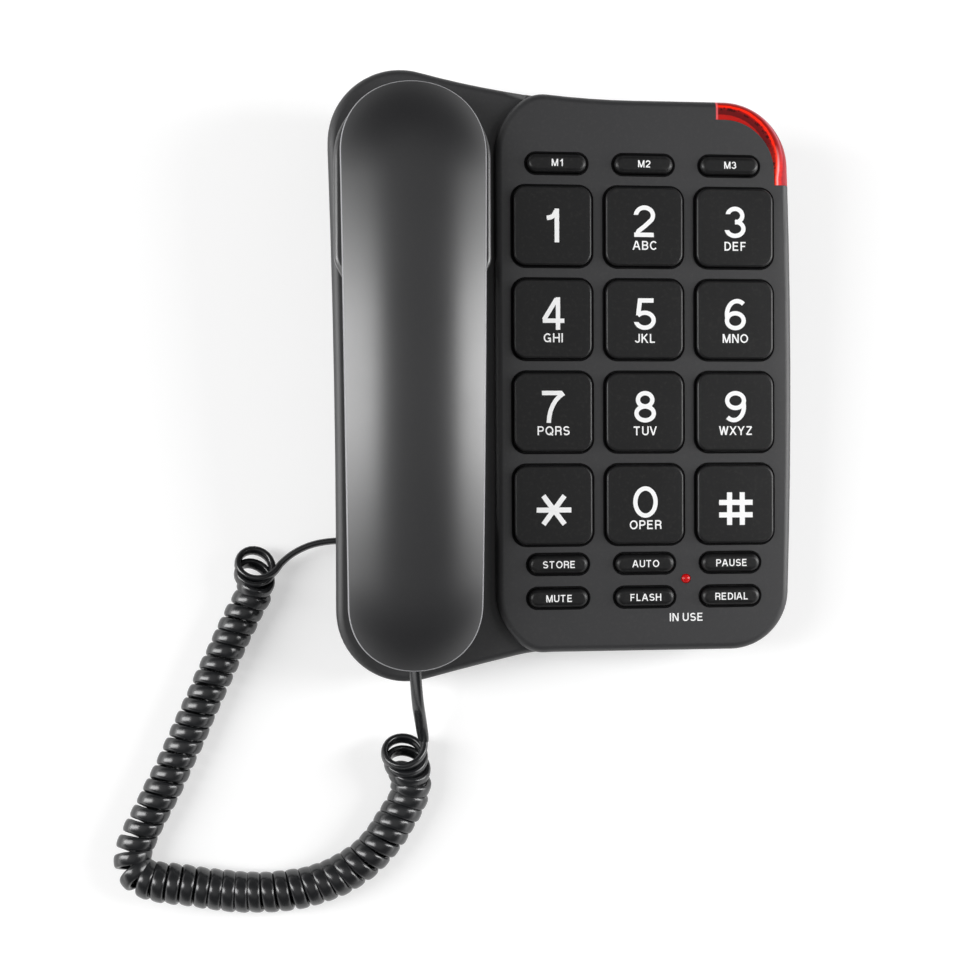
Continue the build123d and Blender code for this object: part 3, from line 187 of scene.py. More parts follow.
def merge_points(made: bpy.types.Object, distance: float, outward: bool = False) -> None:
    """Merges points nearer than distance and removes faces without area.

    Args:
        made: the mesh object.
        distance: in metres.
        outward: whether its faces are then turned to point outwards.
    """
    work = bmesh.new()
    work.from_mesh(made.data)
    bmesh.ops.remove_doubles(work, verts=work.verts, dist=distance)
    bmesh.ops.dissolve_degenerate(work, edges=work.edges, dist=distance / 4)
    if outward:
        bmesh.ops.recalc_face_normals(work, faces=work.faces)
    work.to_mesh(made.data)
    work.free()
    made.data.update()


def crisp(made: bpy.types.Object, angle: float) -> None:
    """Smooth shading that keeps edges sharper than angle, with flat faces kept flat.

    Args:
        made: the mesh object.
        angle: in degrees.
    """
    made.data.polygons.foreach_set("use_smooth", np.ones(len(made.data.polygons), bool))
    made.data.set_sharp_from_angle(angle=math.radians(angle))
    made.modifiers.new("even_normals", "WEIGHTED_NORMAL").keep_sharp = True


# ---------------------------------------------------------------- node trees
@dataclass
class Wiring:
    """Short ways to add and join nodes. An input takes a plain value or the socket of another node."""

    tree: bpy.types.NodeTree

    def node(self, kind: str, **settings: object) -> bpy.types.Node:
        """A new shader node of a kind, with its properties set."""
        made = self.tree.nodes.new(f"ShaderNode{kind}")
        for label, value in settings.items():
            setattr(made, label, value)
        return made

    def feed(self, socket: Socket, given: object) -> None:
        """Joins an input to another node's socket, or sets it to a plain value."""
        if isinstance(given, Socket):
            self.tree.links.new(given, socket)
        else:
            socket.default_value = given

    def math(self, operation: str, *given: object, clamp: bool = False) -> Socket:
        """Result of one operation on numbers.

        Args:
            operation: name of the operation.
            given: its inputs in order.
            clamp: whether the result is kept from 0 to 1.
        Returns:
            The result's socket.
        """
        made = self.node("Math", operation=operation, use_clamp=clamp)
        for socket, value in zip(made.inputs, given):
            self.feed(socket, value)
        return made.outputs[0]

    def vector(self, operation: str, *given: object) -> Socket:
        """Result of one operation on vectors: a number for a length or a dot product, else a vector.

        Args:
            operation: name of the operation.
            given: its inputs in order.
        Returns:
            The result's socket.
        """
        made = self.node("VectorMath", operation=operation)
        for socket, value in zip(made.inputs, given):
            self.feed(socket, value)
        return made.outputs["Value" if operation in ("LENGTH", "DOT_PRODUCT") else "Vector"]

    def parts(self, vector: Socket) -> bpy.types.NodeOutputs:
        """The X, Y and Z of a vector."""
        made = self.node("SeparateXYZ")
        self.feed(made.inputs["Vector"], vector)
        return made.outputs

    def fade(
        self,
        value: Socket,
        low: float,
        high: float,
        start: float = 0.0,
        end: float = 1.0,
        smooth: bool = False,
    ) -> Socket:
        """Number that goes from start to end while value goes from low to high.

        Args:
            value: the number to follow.
            low, high: where the fade begins and ends.
            start, end: its result there.
            smooth: whether it leaves and arrives gently.
        Returns:
            The result's socket.
        """
        made = self.node("MapRange", interpolation_type="SMOOTHSTEP" if smooth else "LINEAR")
        inputs = {"Value": value, "From Min": low, "From Max": high, "To Min": start, "To Max": end}
        for label, given in inputs.items():
            self.feed(made.inputs[label], given)
        return made.outputs["Result"]

    def place(self) -> Socket:
        """The object's own coordinates."""
        return self.node("TexCoord").outputs["Object"]

    def noise(self, scale: object, detail: float = 3.0, place: Socket | None = None) -> Socket:
        """Noise with scale features to a metre.

        Args:
            scale: a number or a socket.
            detail: how many finer layers it has.
            place: where it is read; the object's own coordinates if None.
        Returns:
            The noise's socket.
        """
        made = self.node("TexNoise")
        inputs = {"Scale": scale, "Detail": detail, "Vector": self.place() if place is None else place}
        for label, given in inputs.items():
            self.feed(made.inputs[label], given)
        return made.outputs["Fac"]


class Effect(Enum):
    """Effects that several finishes share."""

    GRAIN = "moulded_grain"
    EDGE_WEAR_AND_SHEEN = "edge_wear_and_sheen"
    DUST = "settled_dust"


@dataclass
class Effects:
    """Builds each shared effect once, as a node group that puts out masks and values only."""

    groups: dict[Effect, bpy.types.NodeTree] = field(default_factory=dict)
    slow_scale: float = 42.0     # patches of uneven roughness to a metre
    patch_scale: float = 160.0   # patches of edge wear and painted sheen to a metre
    fine_detail: float = 2.0
    speck_detail: float = 4.0
    speck_range: tuple[float, float] = (0.52, 0.78)

    def group(self, effect: Effect) -> bpy.types.NodeTree:
        """The node group of an effect, built when it is first asked for."""
        if effect not in self.groups:
            makers = {Effect.GRAIN: self._grain, Effect.EDGE_WEAR_AND_SHEEN: self._edge_wear_and_sheen, Effect.DUST: self._dust}
            self.groups[effect] = makers[effect]()
        return self.groups[effect]

    @staticmethod
    def _start(effect: Effect, inputs: dict[str, float], *outputs: str) -> tuple:
        """An empty group with its sockets.

        Args:
            effect: which effect it will be.
            inputs: names and default values of its float inputs.
            outputs: names of its float outputs.
        Returns:
            Its wiring, what it is given and what it puts out.
        """
        tree = bpy.data.node_groups.new(effect.value, "ShaderNodeTree")
        for label, value in inputs.items():
            socket = tree.interface.new_socket(label, in_out="INPUT", socket_type="NodeSocketFloat")
            socket.default_value = value
        for label in outputs:
            tree.interface.new_socket(label, in_out="OUTPUT", socket_type="NodeSocketFloat")
        given, result = tree.nodes.new("NodeGroupInput"), tree.nodes.new("NodeGroupOutput")
        return Wiring(tree), given.outputs, result.inputs

    def _grain(self) -> bpy.types.NodeTree:
        """Spark-eroded grain: height = noise at Scale; roughness = Roughness + Spread (slow noise - 0.5)."""
        defaults = {"Scale": 2600.0, "Roughness": 0.45, "Spread": 0.1}
        wiring, given, result = self._start(Effect.GRAIN, defaults, "Height", "Roughness")
        place = wiring.place()
        slow = wiring.math("SUBTRACT", wiring.noise(self.slow_scale, place=place), 0.5)
        roughness = wiring.math("MULTIPLY_ADD", slow, given["Spread"], given["Roughness"])
        wiring.feed(result["Height"], wiring.noise(given["Scale"], self.fine_detail, place))
        wiring.feed(result["Roughness"], roughness)
        return wiring.tree

    def _edge_wear_and_sheen(self) -> bpy.types.NodeTree:
        """Mask of outer edges, whose paler colour is partly wear and partly painted sheen: 1 - (rounded normal
        . own normal), times Gain, broken up by noise.
        """
        wiring, given, result = self._start(Effect.EDGE_WEAR_AND_SHEEN, {"Width": 0.0006, "Gain": 6.0}, "Mask")
        rounded, own = wiring.node("Bevel", samples=4), wiring.node("NewGeometry")
        wiring.feed(rounded.inputs["Radius"], given["Width"])
        agreement = wiring.vector("DOT_PRODUCT", rounded.outputs["Normal"], own.outputs["Normal"])
        bend = wiring.math("MULTIPLY", wiring.math("SUBTRACT", 1.0, agreement), given["Gain"])
        patches = wiring.noise(self.patch_scale, self.fine_detail)
        wiring.feed(result["Mask"], wiring.math("MULTIPLY", bend, patches, clamp=True))
        return wiring.tree

    def _dust(self) -> bpy.types.NodeTree:
        """Mask of settled dust: upward share of the normal, times sparse noise, times Amount."""
        wiring, given, result = self._start(Effect.DUST, {"Amount": 0.05, "Scale": 900.0}, "Mask")
        sparse = wiring.fade(wiring.noise(given["Scale"], self.speck_detail), *self.speck_range)
        up = wiring.parts(wiring.node("NewGeometry").outputs["Normal"])["Z"]
        settled = wiring.math("MULTIPLY", up, sparse, clamp=True)
        wiring.feed(result["Mask"], wiring.math("MULTIPLY", settled, given["Amount"]))
        return wiring.tree


EFFECTS = Effects()


class Sheet(Wiring):
    """A material under construction, with its one Principled shader."""

    def __init__(self, name: str) -> None:
        """Makes the material."""
        self.material = bpy.data.materials.new(name)
        self.material.use_nodes = True
        super().__init__(self.material.node_tree)
        self.shader = self.tree.nodes["Principled BSDF"]

    def set(self, label: str, given: object) -> None:
        """Gives one input of the shader a value or a socket."""
        self.feed(self.shader.inputs[label], given)

    def effect(self, effect: Effect, **values: float) -> bpy.types.NodeOutputs:
        """A shared effect with this material's own values.

        Args:
            effect: which effect.
            values: its inputs by lower-case name.
        Returns:
            What it puts out.
        """
        made = self.node("Group", node_tree=EFFECTS.group(effect))
        for label, value in values.items():
            self.feed(made.inputs[label.capitalize()], value)
        return made.outputs

    def mixed(self, mask: Socket, low: Colour | Socket, high: Colour | Socket) -> Socket:
        """Colour that goes from low to high with a mask.

        Args:
            mask: socket from 0 to 1.
            low, high: colours, or sockets that give them.
        Returns:
            The mixed colour's socket.
        """
        mix = self.node("Mix", data_type="RGBA")
        self.feed(mix.inputs["Factor"], mask)
        for socket, colour in ((mix.inputs[6], low), (mix.inputs[7], high)):
            self.feed(socket, (*colour, 1.0) if isinstance(colour, tuple) else colour)
        return mix.outputs[2]

    def ramp(self, value: Socket, stops: tuple[tuple[float, Colour], ...]) -> Socket:
        """Colour that follows a value through stops.

        Args:
            value: from 0 to 1.
            stops: positions with their colours, in order.
        Returns:
            The colour's socket.
        """
        made = self.node("ValToRGB")
        elements = made.color_ramp.elements
        while len(elements) < len(stops):
            elements.new(1.0)
        for element, (position, colour) in zip(elements, stops):
            element.position, element.color = position, (*colour, 1.0)
        self.feed(made.inputs["Fac"], value)
        return made.outputs["Color"]

    def grained(self, scale: float, depth: float, roughness: float, spread: float) -> None:
        """Gives the surface a moulded grain.

        Args:
            scale: grains to a metre.
            depth: height of the grains in metres.
            roughness: middle of the shader's roughness.
            spread: how much that varies from place to place.
        """
        grain = self.effect(Effect.GRAIN, scale=scale, roughness=roughness, spread=spread)
        bump = self.node("Bump")
        for label, given in (("Height", grain["Height"]), ("Distance", depth), ("Strength", 1.0)):
            self.feed(bump.inputs[label], given)
        self.set("Roughness", grain["Roughness"])
        self.set("Normal", bump.outputs["Normal"])


# ---------------------------------------------------------------- finishes
@dataclass(frozen=True)
class MouldedPlastic:
    """Opaque injection-moulded plastic with grain, paler edges that are partly wear and partly painted sheen,
    and a little dust.
    """

    name: str
    colour: Colour
    # edge: paler colour of the outer edges, partly wear and partly painted sheen
    edge: Colour
    roughness: float
    grain_scale: float = 2600.0
    grain_depth: float = 0.00001
    spread: float = 0.1
    gloss: float = 0.5
    dust: float = 0.03
    wear_and_sheen: float = 3.0
    wear_and_sheen_width: float = 0.0005
    tone_scale: float = 22.0
    tone: float = 0.12           # how much paler and darker the colour gets from place to place
    dust_colour: Colour = srgb(150, 146, 140)

    def material(self) -> bpy.types.Material:
        """The finished material."""
        sheet = Sheet(self.name)
        dark, pale = scaled(self.colour, 1.0 - self.tone), scaled(self.colour, 1.0 + self.tone)
        shade = sheet.mixed(sheet.noise(self.tone_scale), dark, pale)
        edges = sheet.effect(Effect.EDGE_WEAR_AND_SHEEN, width=self.wear_and_sheen_width, gain=self.wear_and_sheen)["Mask"]
        dust = sheet.effect(Effect.DUST, amount=self.dust)["Mask"]
        # Paler edges: partly wear, partly painted sheen.
        worn_and_sheen = sheet.mixed(edges, shade, self.edge)
        sheet.set("Base Color", sheet.mixed(dust, worn_and_sheen, self.dust_colour))
        sheet.set("Specular IOR Level", self.gloss)
        sheet.grained(self.grain_scale, self.grain_depth, self.roughness, self.spread)
        return sheet.material


@dataclass(frozen=True)
class PlainMetal:
    """Plated or drawn steel with fine streaks along one direction."""

    name: str
    colour: Colour
    roughness: float = 0.32
    spread: float = 0.18
    grain_scale: float = 1800.0
    grain_depth: float = 0.000006
    streak_scale: float = 300.0
    streak_squeeze: float = 30.0
    streak_shade: float = 0.8

    def material(self) -> bpy.types.Material:
        """The finished material."""
        sheet = Sheet(self.name)
        turn = sheet.node("Mapping")
        sheet.feed(turn.inputs["Vector"], sheet.place())
        sheet.feed(turn.inputs["Scale"], (1.0, self.streak_squeeze, 1.0))
        streaks = sheet.noise(self.streak_scale, 2.0, turn.outputs["Vector"])
        sheet.set("Base Color", sheet.mixed(streaks, scaled(self.colour, self.streak_shade), self.colour))
        sheet.set("Metallic", 1.0)
        sheet.grained(self.grain_scale, self.grain_depth, self.roughness, self.spread)
        return sheet.material


@dataclass(frozen=True)
class PrintedInk:
    """White pad-printed ink, slightly uneven in cover."""

    name: str
    colour: Colour = (0.95, 0.95, 0.95)
    thin: float = 0.93
    cover_scale: float = 2400.0
    grain_scale: float = 5200.0
    grain_depth: float = 0.000004
    roughness: float = 0.55
    spread: float = 0.08

    def material(self) -> bpy.types.Material:
        """The finished material."""
        sheet = Sheet(self.name)
        cover = sheet.noise(self.cover_scale)
        sheet.set("Base Color", sheet.mixed(cover, scaled(self.colour, self.thin), self.colour))
        sheet.grained(self.grain_scale, self.grain_depth, self.roughness, self.spread)
        return sheet.material


@dataclass(frozen=True)
class LensWithPaintedLight:
    """Clear red lens round the corner: bands of red that follow the distance from its outer edge.

    The distance is that of a rounded corner: d = R - |max(p - c, 0)|, with c the centre of the corner's arc.
    The bright band, painted light, lies near the outer edge along the rear and moves to the inner edge down the
    side, where a pale line of painted highlight runs beside it; the pale line where the lens begins is a
    painted highlight too. A fade is given as where it begins and ends, and its result there.
    """

    name: str
    centre: tuple[float, float, float] = (27.1, 67.1, 0.0)
    radius: float = 22.3
    breadth: float = 5.2
    first: float = 25.1          # where the lens begins along the rear edge
    drift: tuple[float, ...] = (86.0, 63.0, 0.06, -0.32)    # how the bands move inwards down the side
    to_side: tuple[float, float] = (75.0, 67.5)             # where the rear bands pass into the side's
    wobble: float = 0.08
    wobble_scale: float = 420.0
    dark_line: float = 0.62      # where the dark flecks lie
    beside_line: tuple[float, ...] = (0.05, 0.16, 1.0, 0.1)
    fleck_scale: float = 850.0
    flecks: tuple[float, ...] = (0.5, 0.58, 0.0, 0.85)
    fleck_colour: Colour = srgb(34, 6, 8)
    end_highlight: tuple[float, ...] = (0.45, 0.8, 0.8, 0.0)     # the pale painted highlight where the lens begins
    end_highlight_colour: Colour = srgb(226, 92, 96)
    # Painted glow: the lens gives off light of its own colour.
    glow: float = 0.2
    gloss: float = 0.22
    grain_scale: float = 700.0
    grain_depth: float = 0.00001
    roughness: float = 0.16
    spread: float = 0.08
    # Colours across the rear and down the side: the pale pinks and the brightest reds are painted highlights.
    rear: tuple[tuple[float, Colour], ...] = (
        (0.0, srgb(150, 36, 40)),
        (0.06, srgb(196, 112, 122)),
        (0.12, srgb(176, 74, 82)),
        (0.24, srgb(140, 28, 30)),
        (0.34, srgb(146, 22, 16)),
        (0.42, srgb(255, 40, 16)),
        (0.49, srgb(250, 36, 16)),
        (0.58, srgb(140, 14, 12)),
        (0.68, srgb(100, 16, 18)),
        (0.94, srgb(96, 14, 16)),
        (1.0, srgb(170, 24, 20)),
    )
    side: tuple[tuple[float, Colour], ...] = (
        (0.0, srgb(170, 52, 58)),
        (0.1, srgb(226, 54, 52)),
        (0.24, srgb(232, 62, 58)),
        (0.31, srgb(244, 166, 168)),
        (0.37, srgb(244, 142, 140)),
        (0.43, srgb(255, 80, 56)),
        (0.49, srgb(214, 36, 16)),
        (0.56, srgb(150, 26, 16)),
        (0.66, srgb(150, 24, 12)),
        (0.76, srgb(196, 34, 8)),
        (1.0, srgb(206, 36, 8)),
    )

    def face_place(self, sheet: Sheet) -> Socket:
        """Face coordinates in millimetres."""
        face = sheet.node("Mapping", vector_type="TEXTURE")
        sheet.feed(face.inputs["Vector"], sheet.place())
        sheet.feed(face.inputs["Location"], [c * MM for c in FACE.origin])
        sheet.feed(face.inputs["Rotation"], (FACE.tilt, 0.0, 0.0))
        sheet.feed(face.inputs["Scale"], (MM, MM, MM))
        return face.outputs["Vector"]

    def material(self) -> bpy.types.Material:
        """The finished material."""
        sheet = Sheet(self.name)
        spot = self.face_place(sheet)
        parts = sheet.parts(spot)
        outside = sheet.vector("MAXIMUM", sheet.vector("SUBTRACT", spot, self.centre))
        reach = sheet.vector("LENGTH", sheet.vector("MULTIPLY", outside, (1.0, 1.0, 0.0)))
        inwards = sheet.math("SUBTRACT", self.radius, reach)
        share = sheet.math("MULTIPLY_ADD", inwards, 1.0 / self.breadth, sheet.fade(parts["Y"], *self.drift))
        share = sheet.math("MULTIPLY_ADD", sheet.noise(self.wobble_scale), self.wobble, share)
        bands = sheet.ramp(share, self.rear), sheet.ramp(share, self.side)
        red = sheet.mixed(sheet.fade(parts["Y"], *self.to_side), *bands)
        off_line = sheet.math("ABSOLUTE", sheet.math("SUBTRACT", share, self.dark_line))
        beside = sheet.fade(off_line, *self.beside_line)
        flecks = sheet.math("MULTIPLY", sheet.fade(sheet.noise(self.fleck_scale), *self.flecks), beside)
        flecked = sheet.mixed(flecks, red, self.fleck_colour)
        low, high, *ends = self.end_highlight
        beginning = sheet.fade(parts["X"], self.first + low, self.first + high, *ends)
        tint = sheet.mixed(beginning, flecked, self.end_highlight_colour)
        sheet.set("Base Color", tint)
        # Painted glow: the colour is also given off as light.
        sheet.set("Emission Color", tint)
        sheet.set("Emission Strength", self.glow)
        sheet.set("Specular IOR Level", self.gloss)
        sheet.grained(self.grain_scale, self.grain_depth, self.roughness, self.spread)
        return sheet.material


@dataclass(frozen=True)
class CircuitBoard:
    """Green solder mask with paler copper tracks in a grid."""

    name: str
    track_scale: float = 90.0
    track_width: float = 0.03
    mask: Colour = srgb(20, 74, 44)
    other_mask: Colour = srgb(26, 84, 50)
    track: Colour = srgb(48, 118, 70)
    shade: Colour = srgb(22, 70, 42)
    shade_scale: float = 60.0
    grain_scale: float = 1500.0
    grain_depth: float = 0.000008
    roughness: float = 0.35
    spread: float = 0.12

    def material(self) -> bpy.types.Material:
        """The finished material."""
        sheet = Sheet(self.name)
        tracks = sheet.node("TexBrick")
        inputs = {
            "Vector": sheet.place(),
            "Scale": self.track_scale,
            "Mortar Size": self.track_width,
            "Color1": (*self.mask, 1.0),
            "Color2": (*self.other_mask, 1.0),
            "Mortar": (*self.track, 1.0),
        }
        for label, given in inputs.items():
            sheet.feed(tracks.inputs[label], given)
        shading = sheet.noise(self.shade_scale)
        sheet.set("Base Color", sheet.mixed(shading, tracks.outputs["Color"], self.shade))
        sheet.grained(self.grain_scale, self.grain_depth, self.roughness, self.spread)
        return sheet.material


class Finish(Enum):
    """Every finish of the telephone."""

    HOUSING = MouldedPlastic(
        "housing_plastic", srgb(32, 32, 34), srgb(80, 80, 82), 0.5, spread=0.08, gloss=0.76
    )
    KEYS = MouldedPlastic(
        "key_plastic", srgb(15, 15, 16), srgb(66, 66, 68), 0.38, 3400.0, 0.000004, gloss=0.42
    )
    HANDSET = MouldedPlastic(
        "handset_plastic", srgb(27, 27, 29), srgb(60, 60, 62), 0.34, 3000.0, 0.000003, 0.06, 1.0, 0.01
    )
    # Near-black bands beside the key holes: painted shade of the gaps.
    PAINTED_GAP_SHADE = MouldedPlastic("joint_shade", srgb(6, 6, 7), srgb(7, 7, 8), 0.8, gloss=0.1, wear_and_sheen=0.0, dust=0.0)
    # A pale colour for the cover's rounded edge: a painted highlight.
    PAINTED_RIM_HIGHLIGHT = MouldedPlastic("rim_painted_highlight", srgb(150, 150, 153), srgb(170, 170, 172), 0.4, wear_and_sheen=1.0, dust=0.0)
    CORD = MouldedPlastic(
        "cord_jacket", srgb(23, 24, 26), srgb(62, 62, 64), 0.25, 2000.0, 0.000004, 0.02, 0.78, 0.01, 0.0
    )
    KNOBS = MouldedPlastic("knob_plastic", srgb(24, 24, 25), srgb(66, 66, 68), 0.45)
    JACKS = MouldedPlastic("jack_plastic", srgb(30, 30, 31), srgb(60, 60, 60), 0.5)
    PLUGS = MouldedPlastic("plug_plastic", srgb(26, 26, 28), srgb(70, 70, 72), 0.22)
    FEET = MouldedPlastic("foot_rubber", srgb(28, 27, 26), srgb(48, 47, 46), 0.75, 1400.0, 0.00003, gloss=0.3)
    KEY_MAT = MouldedPlastic("key_mat_rubber", srgb(150, 150, 146), srgb(170, 170, 166), 0.6)
    SCREWS = PlainMetal("screw_steel", srgb(168, 168, 166))
    STEEL = PlainMetal("plate_steel", srgb(150, 152, 154), 0.4)
    INK = PrintedInk("legend_ink")
    LENS = LensWithPaintedLight("ring_lens_red")
    LAMP = MouldedPlastic("lamp_red", srgb(196, 12, 14), srgb(240, 60, 50), 0.14, wear_and_sheen=0.5, dust=0.0)
    BOARD = CircuitBoard("board_green")


@dataclass
class Paints:
    """Makes each finish's material once."""

    made: dict[Finish, bpy.types.Material] = field(default_factory=dict)

    def of(self, finish: Finish) -> bpy.types.Material:
        """The material of a finish."""
        if finish not in self.made:
            self.made[finish] = finish.value.material()
        return self.made[finish]

    def dress(self, made: bpy.types.Object, *finishes: Finish) -> None:
        """Puts the finishes into a piece's material slots, in order.

        Args:
            made: the piece.
            finishes: one for each slot.
        """
        made.data.materials.clear()
        for finish in finishes:
            made.data.materials.append(self.of(finish))


PAINTS = Paints()


# ---------------------------------------------------------------- parts that keep their shape
@dataclass(frozen=True)
class CarriedPart:
    """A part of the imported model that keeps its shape: a merged copy gets even normals and a finish."""

    node: str
    body: str
    finish: Finish
    slot: str
    angle: float = 32.0
    merge: float = 0.002         # points nearer than this are one point

    def build(self) -> bpy.types.Object:
        """Copies the part with its points merged, and lets the copy stand for it."""
        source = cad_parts[self.node].data
        points = read_rows(source.vertices, "co", np.float32)
        source.calc_loop_triangles()
        corners = read_rows(source.loop_triangles, "vertices", np.int32)
        made = mesh_object(f"{self.node}_finished", points, corners)
        merge_points(made, self.merge * MM)
        crisp(made, self.angle)
        PAINTS.dress(made, self.finish)
        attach(made, self.body)
        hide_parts(self.node)
        return made


class SubAssembly:
    """Parts that keep their shape: the outer ones as finished copies, the inner ones as they are."""

    outer: tuple[CarriedPart, ...]
    inner: tuple[tuple[str, Finish], ...]

    def dress_parts(self) -> None:
        """Builds the outer parts and dresses the inner ones."""
        for part in self.outer:
            part.build()
        for node, finish in self.inner:
            PAINTS.dress(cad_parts[node], finish)
        log.info("%s: %d outer and %d inner parts", type(self).__name__, len(self.outer), len(self.inner))


# ---------------------------------------------------------------- the cord
@dataclass
class CurlyCord:
    """The flat handset cord: a straight tail, a long coil of curls and a second tail.

    The helix is P = A + r ((cos p + e) S + sin p D), where A runs along the route, S points to its right, D
    points down and leans along the route near both ends, and p turns once for each pitch. The share e goes
    from 1 at the first curl to 0 and on to -1 at the last one, so both tails run straight out of the edge of a
    curl. Slow waves along the route keep the curls from being all alike.
    """

    width: float = 4.4
    thickness: float = 2.3
    corner: float = 2.7          # how square the section is: 2 is an ellipse
    around: int = 16
    curl_left: float = 12.4      # outside of a curl, down the left side
    curl_right: float = 13.4
    length: float = 1.8
    pitch_left: float = 4.95
    pitch_right: float = 4.55
    passing: float = 10.0        # half the stretch over which the left side's sizes become the right side's
    lean_start: float = 70.0     # how far the first curl lies down, degrees
    lean_end: float = 54.0
    lying: float = 16.0          # how far the first curls lie down along the route
    lift_start: float = 1.6
    lift_end: float = 1.4
    lift_reach: float = 9.0
    lift_inset: float = 4.0
    wider_start: float = 0.23    # how much wider the first and last curls are
    wider_end: float = 0.22
    wide_start: float = 12.0     # how far along the route they are wider
    wide_end: float = 20.0
    closer_start: float = 0.25   # how much closer together the first curls are
    settling: float = 8.0        # how far along each tail the cord turns its wide side
    wind_up: float = 3.5         # how far along each tail the curls begin
    wound: float = 1.0           # how far into the coil they are at their full turn
    tail_step: float = 0.8
    least_step: float = 0.1
    steps_to_curl: float = 30.0
    uneven_size: Waves = ((0.012, 0.31, 0.0), (0.0072, 0.83, 1.0))       # share of the radius
    uneven_pitch: Waves = ((0.05, 0.21, 0.4), (0.03, 0.57, 0.0))         # share of the pitch
    uneven_lean: Waves = ((3.0, 0.17, 0.0),)                             # degrees
    far_tail: tuple[float, float, float] = (0.7, 0.0, 0.71)              # wide side of the tail to the handset
    start: tuple[float, float] = (-97.0, -63.3)
    end: tuple[float, float] = (-46.7, -124.6)
    swing: tuple[tuple[float, float], ...] = (  # share of the coil, and how far curls swing there, degrees
        (0.0, 24.0),
        (0.05, 3.5),
        (0.43, 3.5),
        (0.52, -10.0),
        (0.58, -8.0),
        (0.65, -3.0),
        (0.78, 3.0),
        (0.92, 6.0),
        (1.0, 3.0),
    )
    base_exit: tuple[float, float, float] = (-75.489, -53.489, 10.0)
    handset_exit: tuple[float, float, float] = (-50.7, -96.50, 30.67)
    give: tuple[float, float, float] = (0.02334, 0.00311, 0.03)    # how the stretch that gives grows, to a mm
    route: tuple[tuple[float, float, float], ...] = (
        (-75.489, -53.489, 10.0),
        (-82.1, -53.7, 9.6),
        (-90.7, -57.2, 8.6),
        (-96.1, -62.2, 7.6),
        (-103.0, -69.8, 6.7),
        (-108.1, -78.2, 6.4),
        (-120.6, -105.7, 6.4),
        (-132.0, -131.7, 6.4),
        (-143.0, -152.7, 6.5),
        (-144.5, -159.8, 6.9),
        (-140.9, -165.4, 6.95),
        (-127.8, -167.3, 6.95),
        (-105.4, -171.2, 6.95),
        (-82.8, -169.7, 6.95),
        (-64.6, -160.4, 6.95),
        (-53.6, -144.1, 6.95),
        (-48.0, -134.0, 7.2),
        (-46.4, -124.8, 8.6),
        (-47.9, -116.0, 15.0),
        (-50.0, -107.1, 27.5),
        (-50.7, -96.50, 30.67),
    )

    def centreline(self) -> np.ndarray:
        """Points of the route's smooth spline, in millimetres."""
        curve = bpy.data.curves.new("cord_route", "CURVE")
        curve.dimensions = "3D"
        curve.resolution_u = 48
        spline = curve.splines.new("NURBS")
        spline.points.add(len(self.route) - 1)
        controls = np.column_stack([np.array(self.route) * MM, np.ones(len(self.route))])
        spline.points.foreach_set("co", controls.ravel())
        spline.order_u = 3
        spline.use_endpoint_u = True
        bare = bpy.data.objects.new("cord_route", curve)
        mesh = bpy.data.meshes.new_from_object(bare)
        points = read_rows(mesh.vertices, "co", np.float32)
        bpy.data.objects.remove(bare)
        bpy.data.curves.remove(curve)
        bpy.data.meshes.remove(mesh)
        return points.astype(float) / MM

    def stations(self, first: float, last: float, whole: float) -> np.ndarray:
        """Places along the route, close together over the coil.

        Args:
            first, last: where the coil begins and ends.
            whole: length of the route.
        Returns:
            Rising lengths in millimetres.
        """
        begin, stop = first - self.settling, last + self.settling
        s = np.concatenate(
            [
                np.arange(0.0, begin, self.tail_step),
                np.arange(begin, stop, self.pitch_right / self.steps_to_curl),
                np.arange(stop, whole, self.tail_step),
                [whole],
            ]
        )
        return s[np.append(np.diff(s) > self.least_step, True)]

    def phase(self, s: np.ndarray, pitch: np.ndarray, turning: np.ndarray) -> np.ndarray:
        """How far the cord has turned: the sum of 2 pi turning / pitch, stretched to end half a turn on.

        Args:
            s: places along the route.
            pitch: pitch at each.
            turning: share from 0 on the tails to 1 on the coil.
        Returns:
            Angles in radians.
        """
        rate = 2.0 * math.pi * turning / pitch
        turned = np.concatenate([[0.0], np.cumsum((rate[1:] + rate[:-1]) / 2.0 * np.diff(s))])
        whole = 2.0 * math.pi * round(turned[-1] / (2.0 * math.pi) - 0.5) + math.pi
        return math.pi + turned * whole / turned[-1]

    def helix(self) -> tuple[np.ndarray, np.ndarray]:
        """The cord's own line and the direction of its wide side, both in millimetres.

        Returns:
            Rows of points, and rows of unit directions.
        """
        line = self.centreline()
        along = np.concatenate([[0.0], np.cumsum(np.linalg.norm(np.diff(line, axis=0), axis=1))])
        first, last = (
            along[np.argmin(np.linalg.norm(line[:, :2] - spot, axis=1))] for spot in (self.start, self.end)
        )
        s = self.stations(first, last, along[-1])
        axis = np.stack([np.interp(s, along, line[:, k]) for k in range(3)], axis=1)
        up = np.array([0.0, 0.0, 1.0])
        level = units(units(np.gradient(axis, s, axis=0)) * [1.0, 1.0, 0.0])
        side = np.cross(level, up)
        near_start = 1.0 - smoothstep(first, first + self.wide_start, s)
        near_end = smoothstep(last - self.wide_end, last, s)
        middle = (first + last) / 2.0
        right = smoothstep(middle - self.passing, middle + self.passing, s)
        wider = 1.0 + waves(self.uneven_size, s) + self.wider_start * near_start + self.wider_end * near_end
        r = (self.curl_left + (self.curl_right - self.curl_left) * right - self.thickness) / 2.0 * wider
        shares, degrees = np.array(self.swing).T
        swung = np.radians(np.interp((s - first) / (last - first), shares, degrees))[:, None]
        ahead, aslant = np.cos(swung), np.sin(swung)
        side, level = ahead * side + aslant * level, ahead * level - aslant * side
        ending = 1.0 - smoothstep(last - self.wound, last + self.wind_up, s)
        turning = smoothstep(first - self.wind_up, first + self.wound, s) * ending
        pitch = self.pitch_left + (self.pitch_right - self.pitch_left) * right
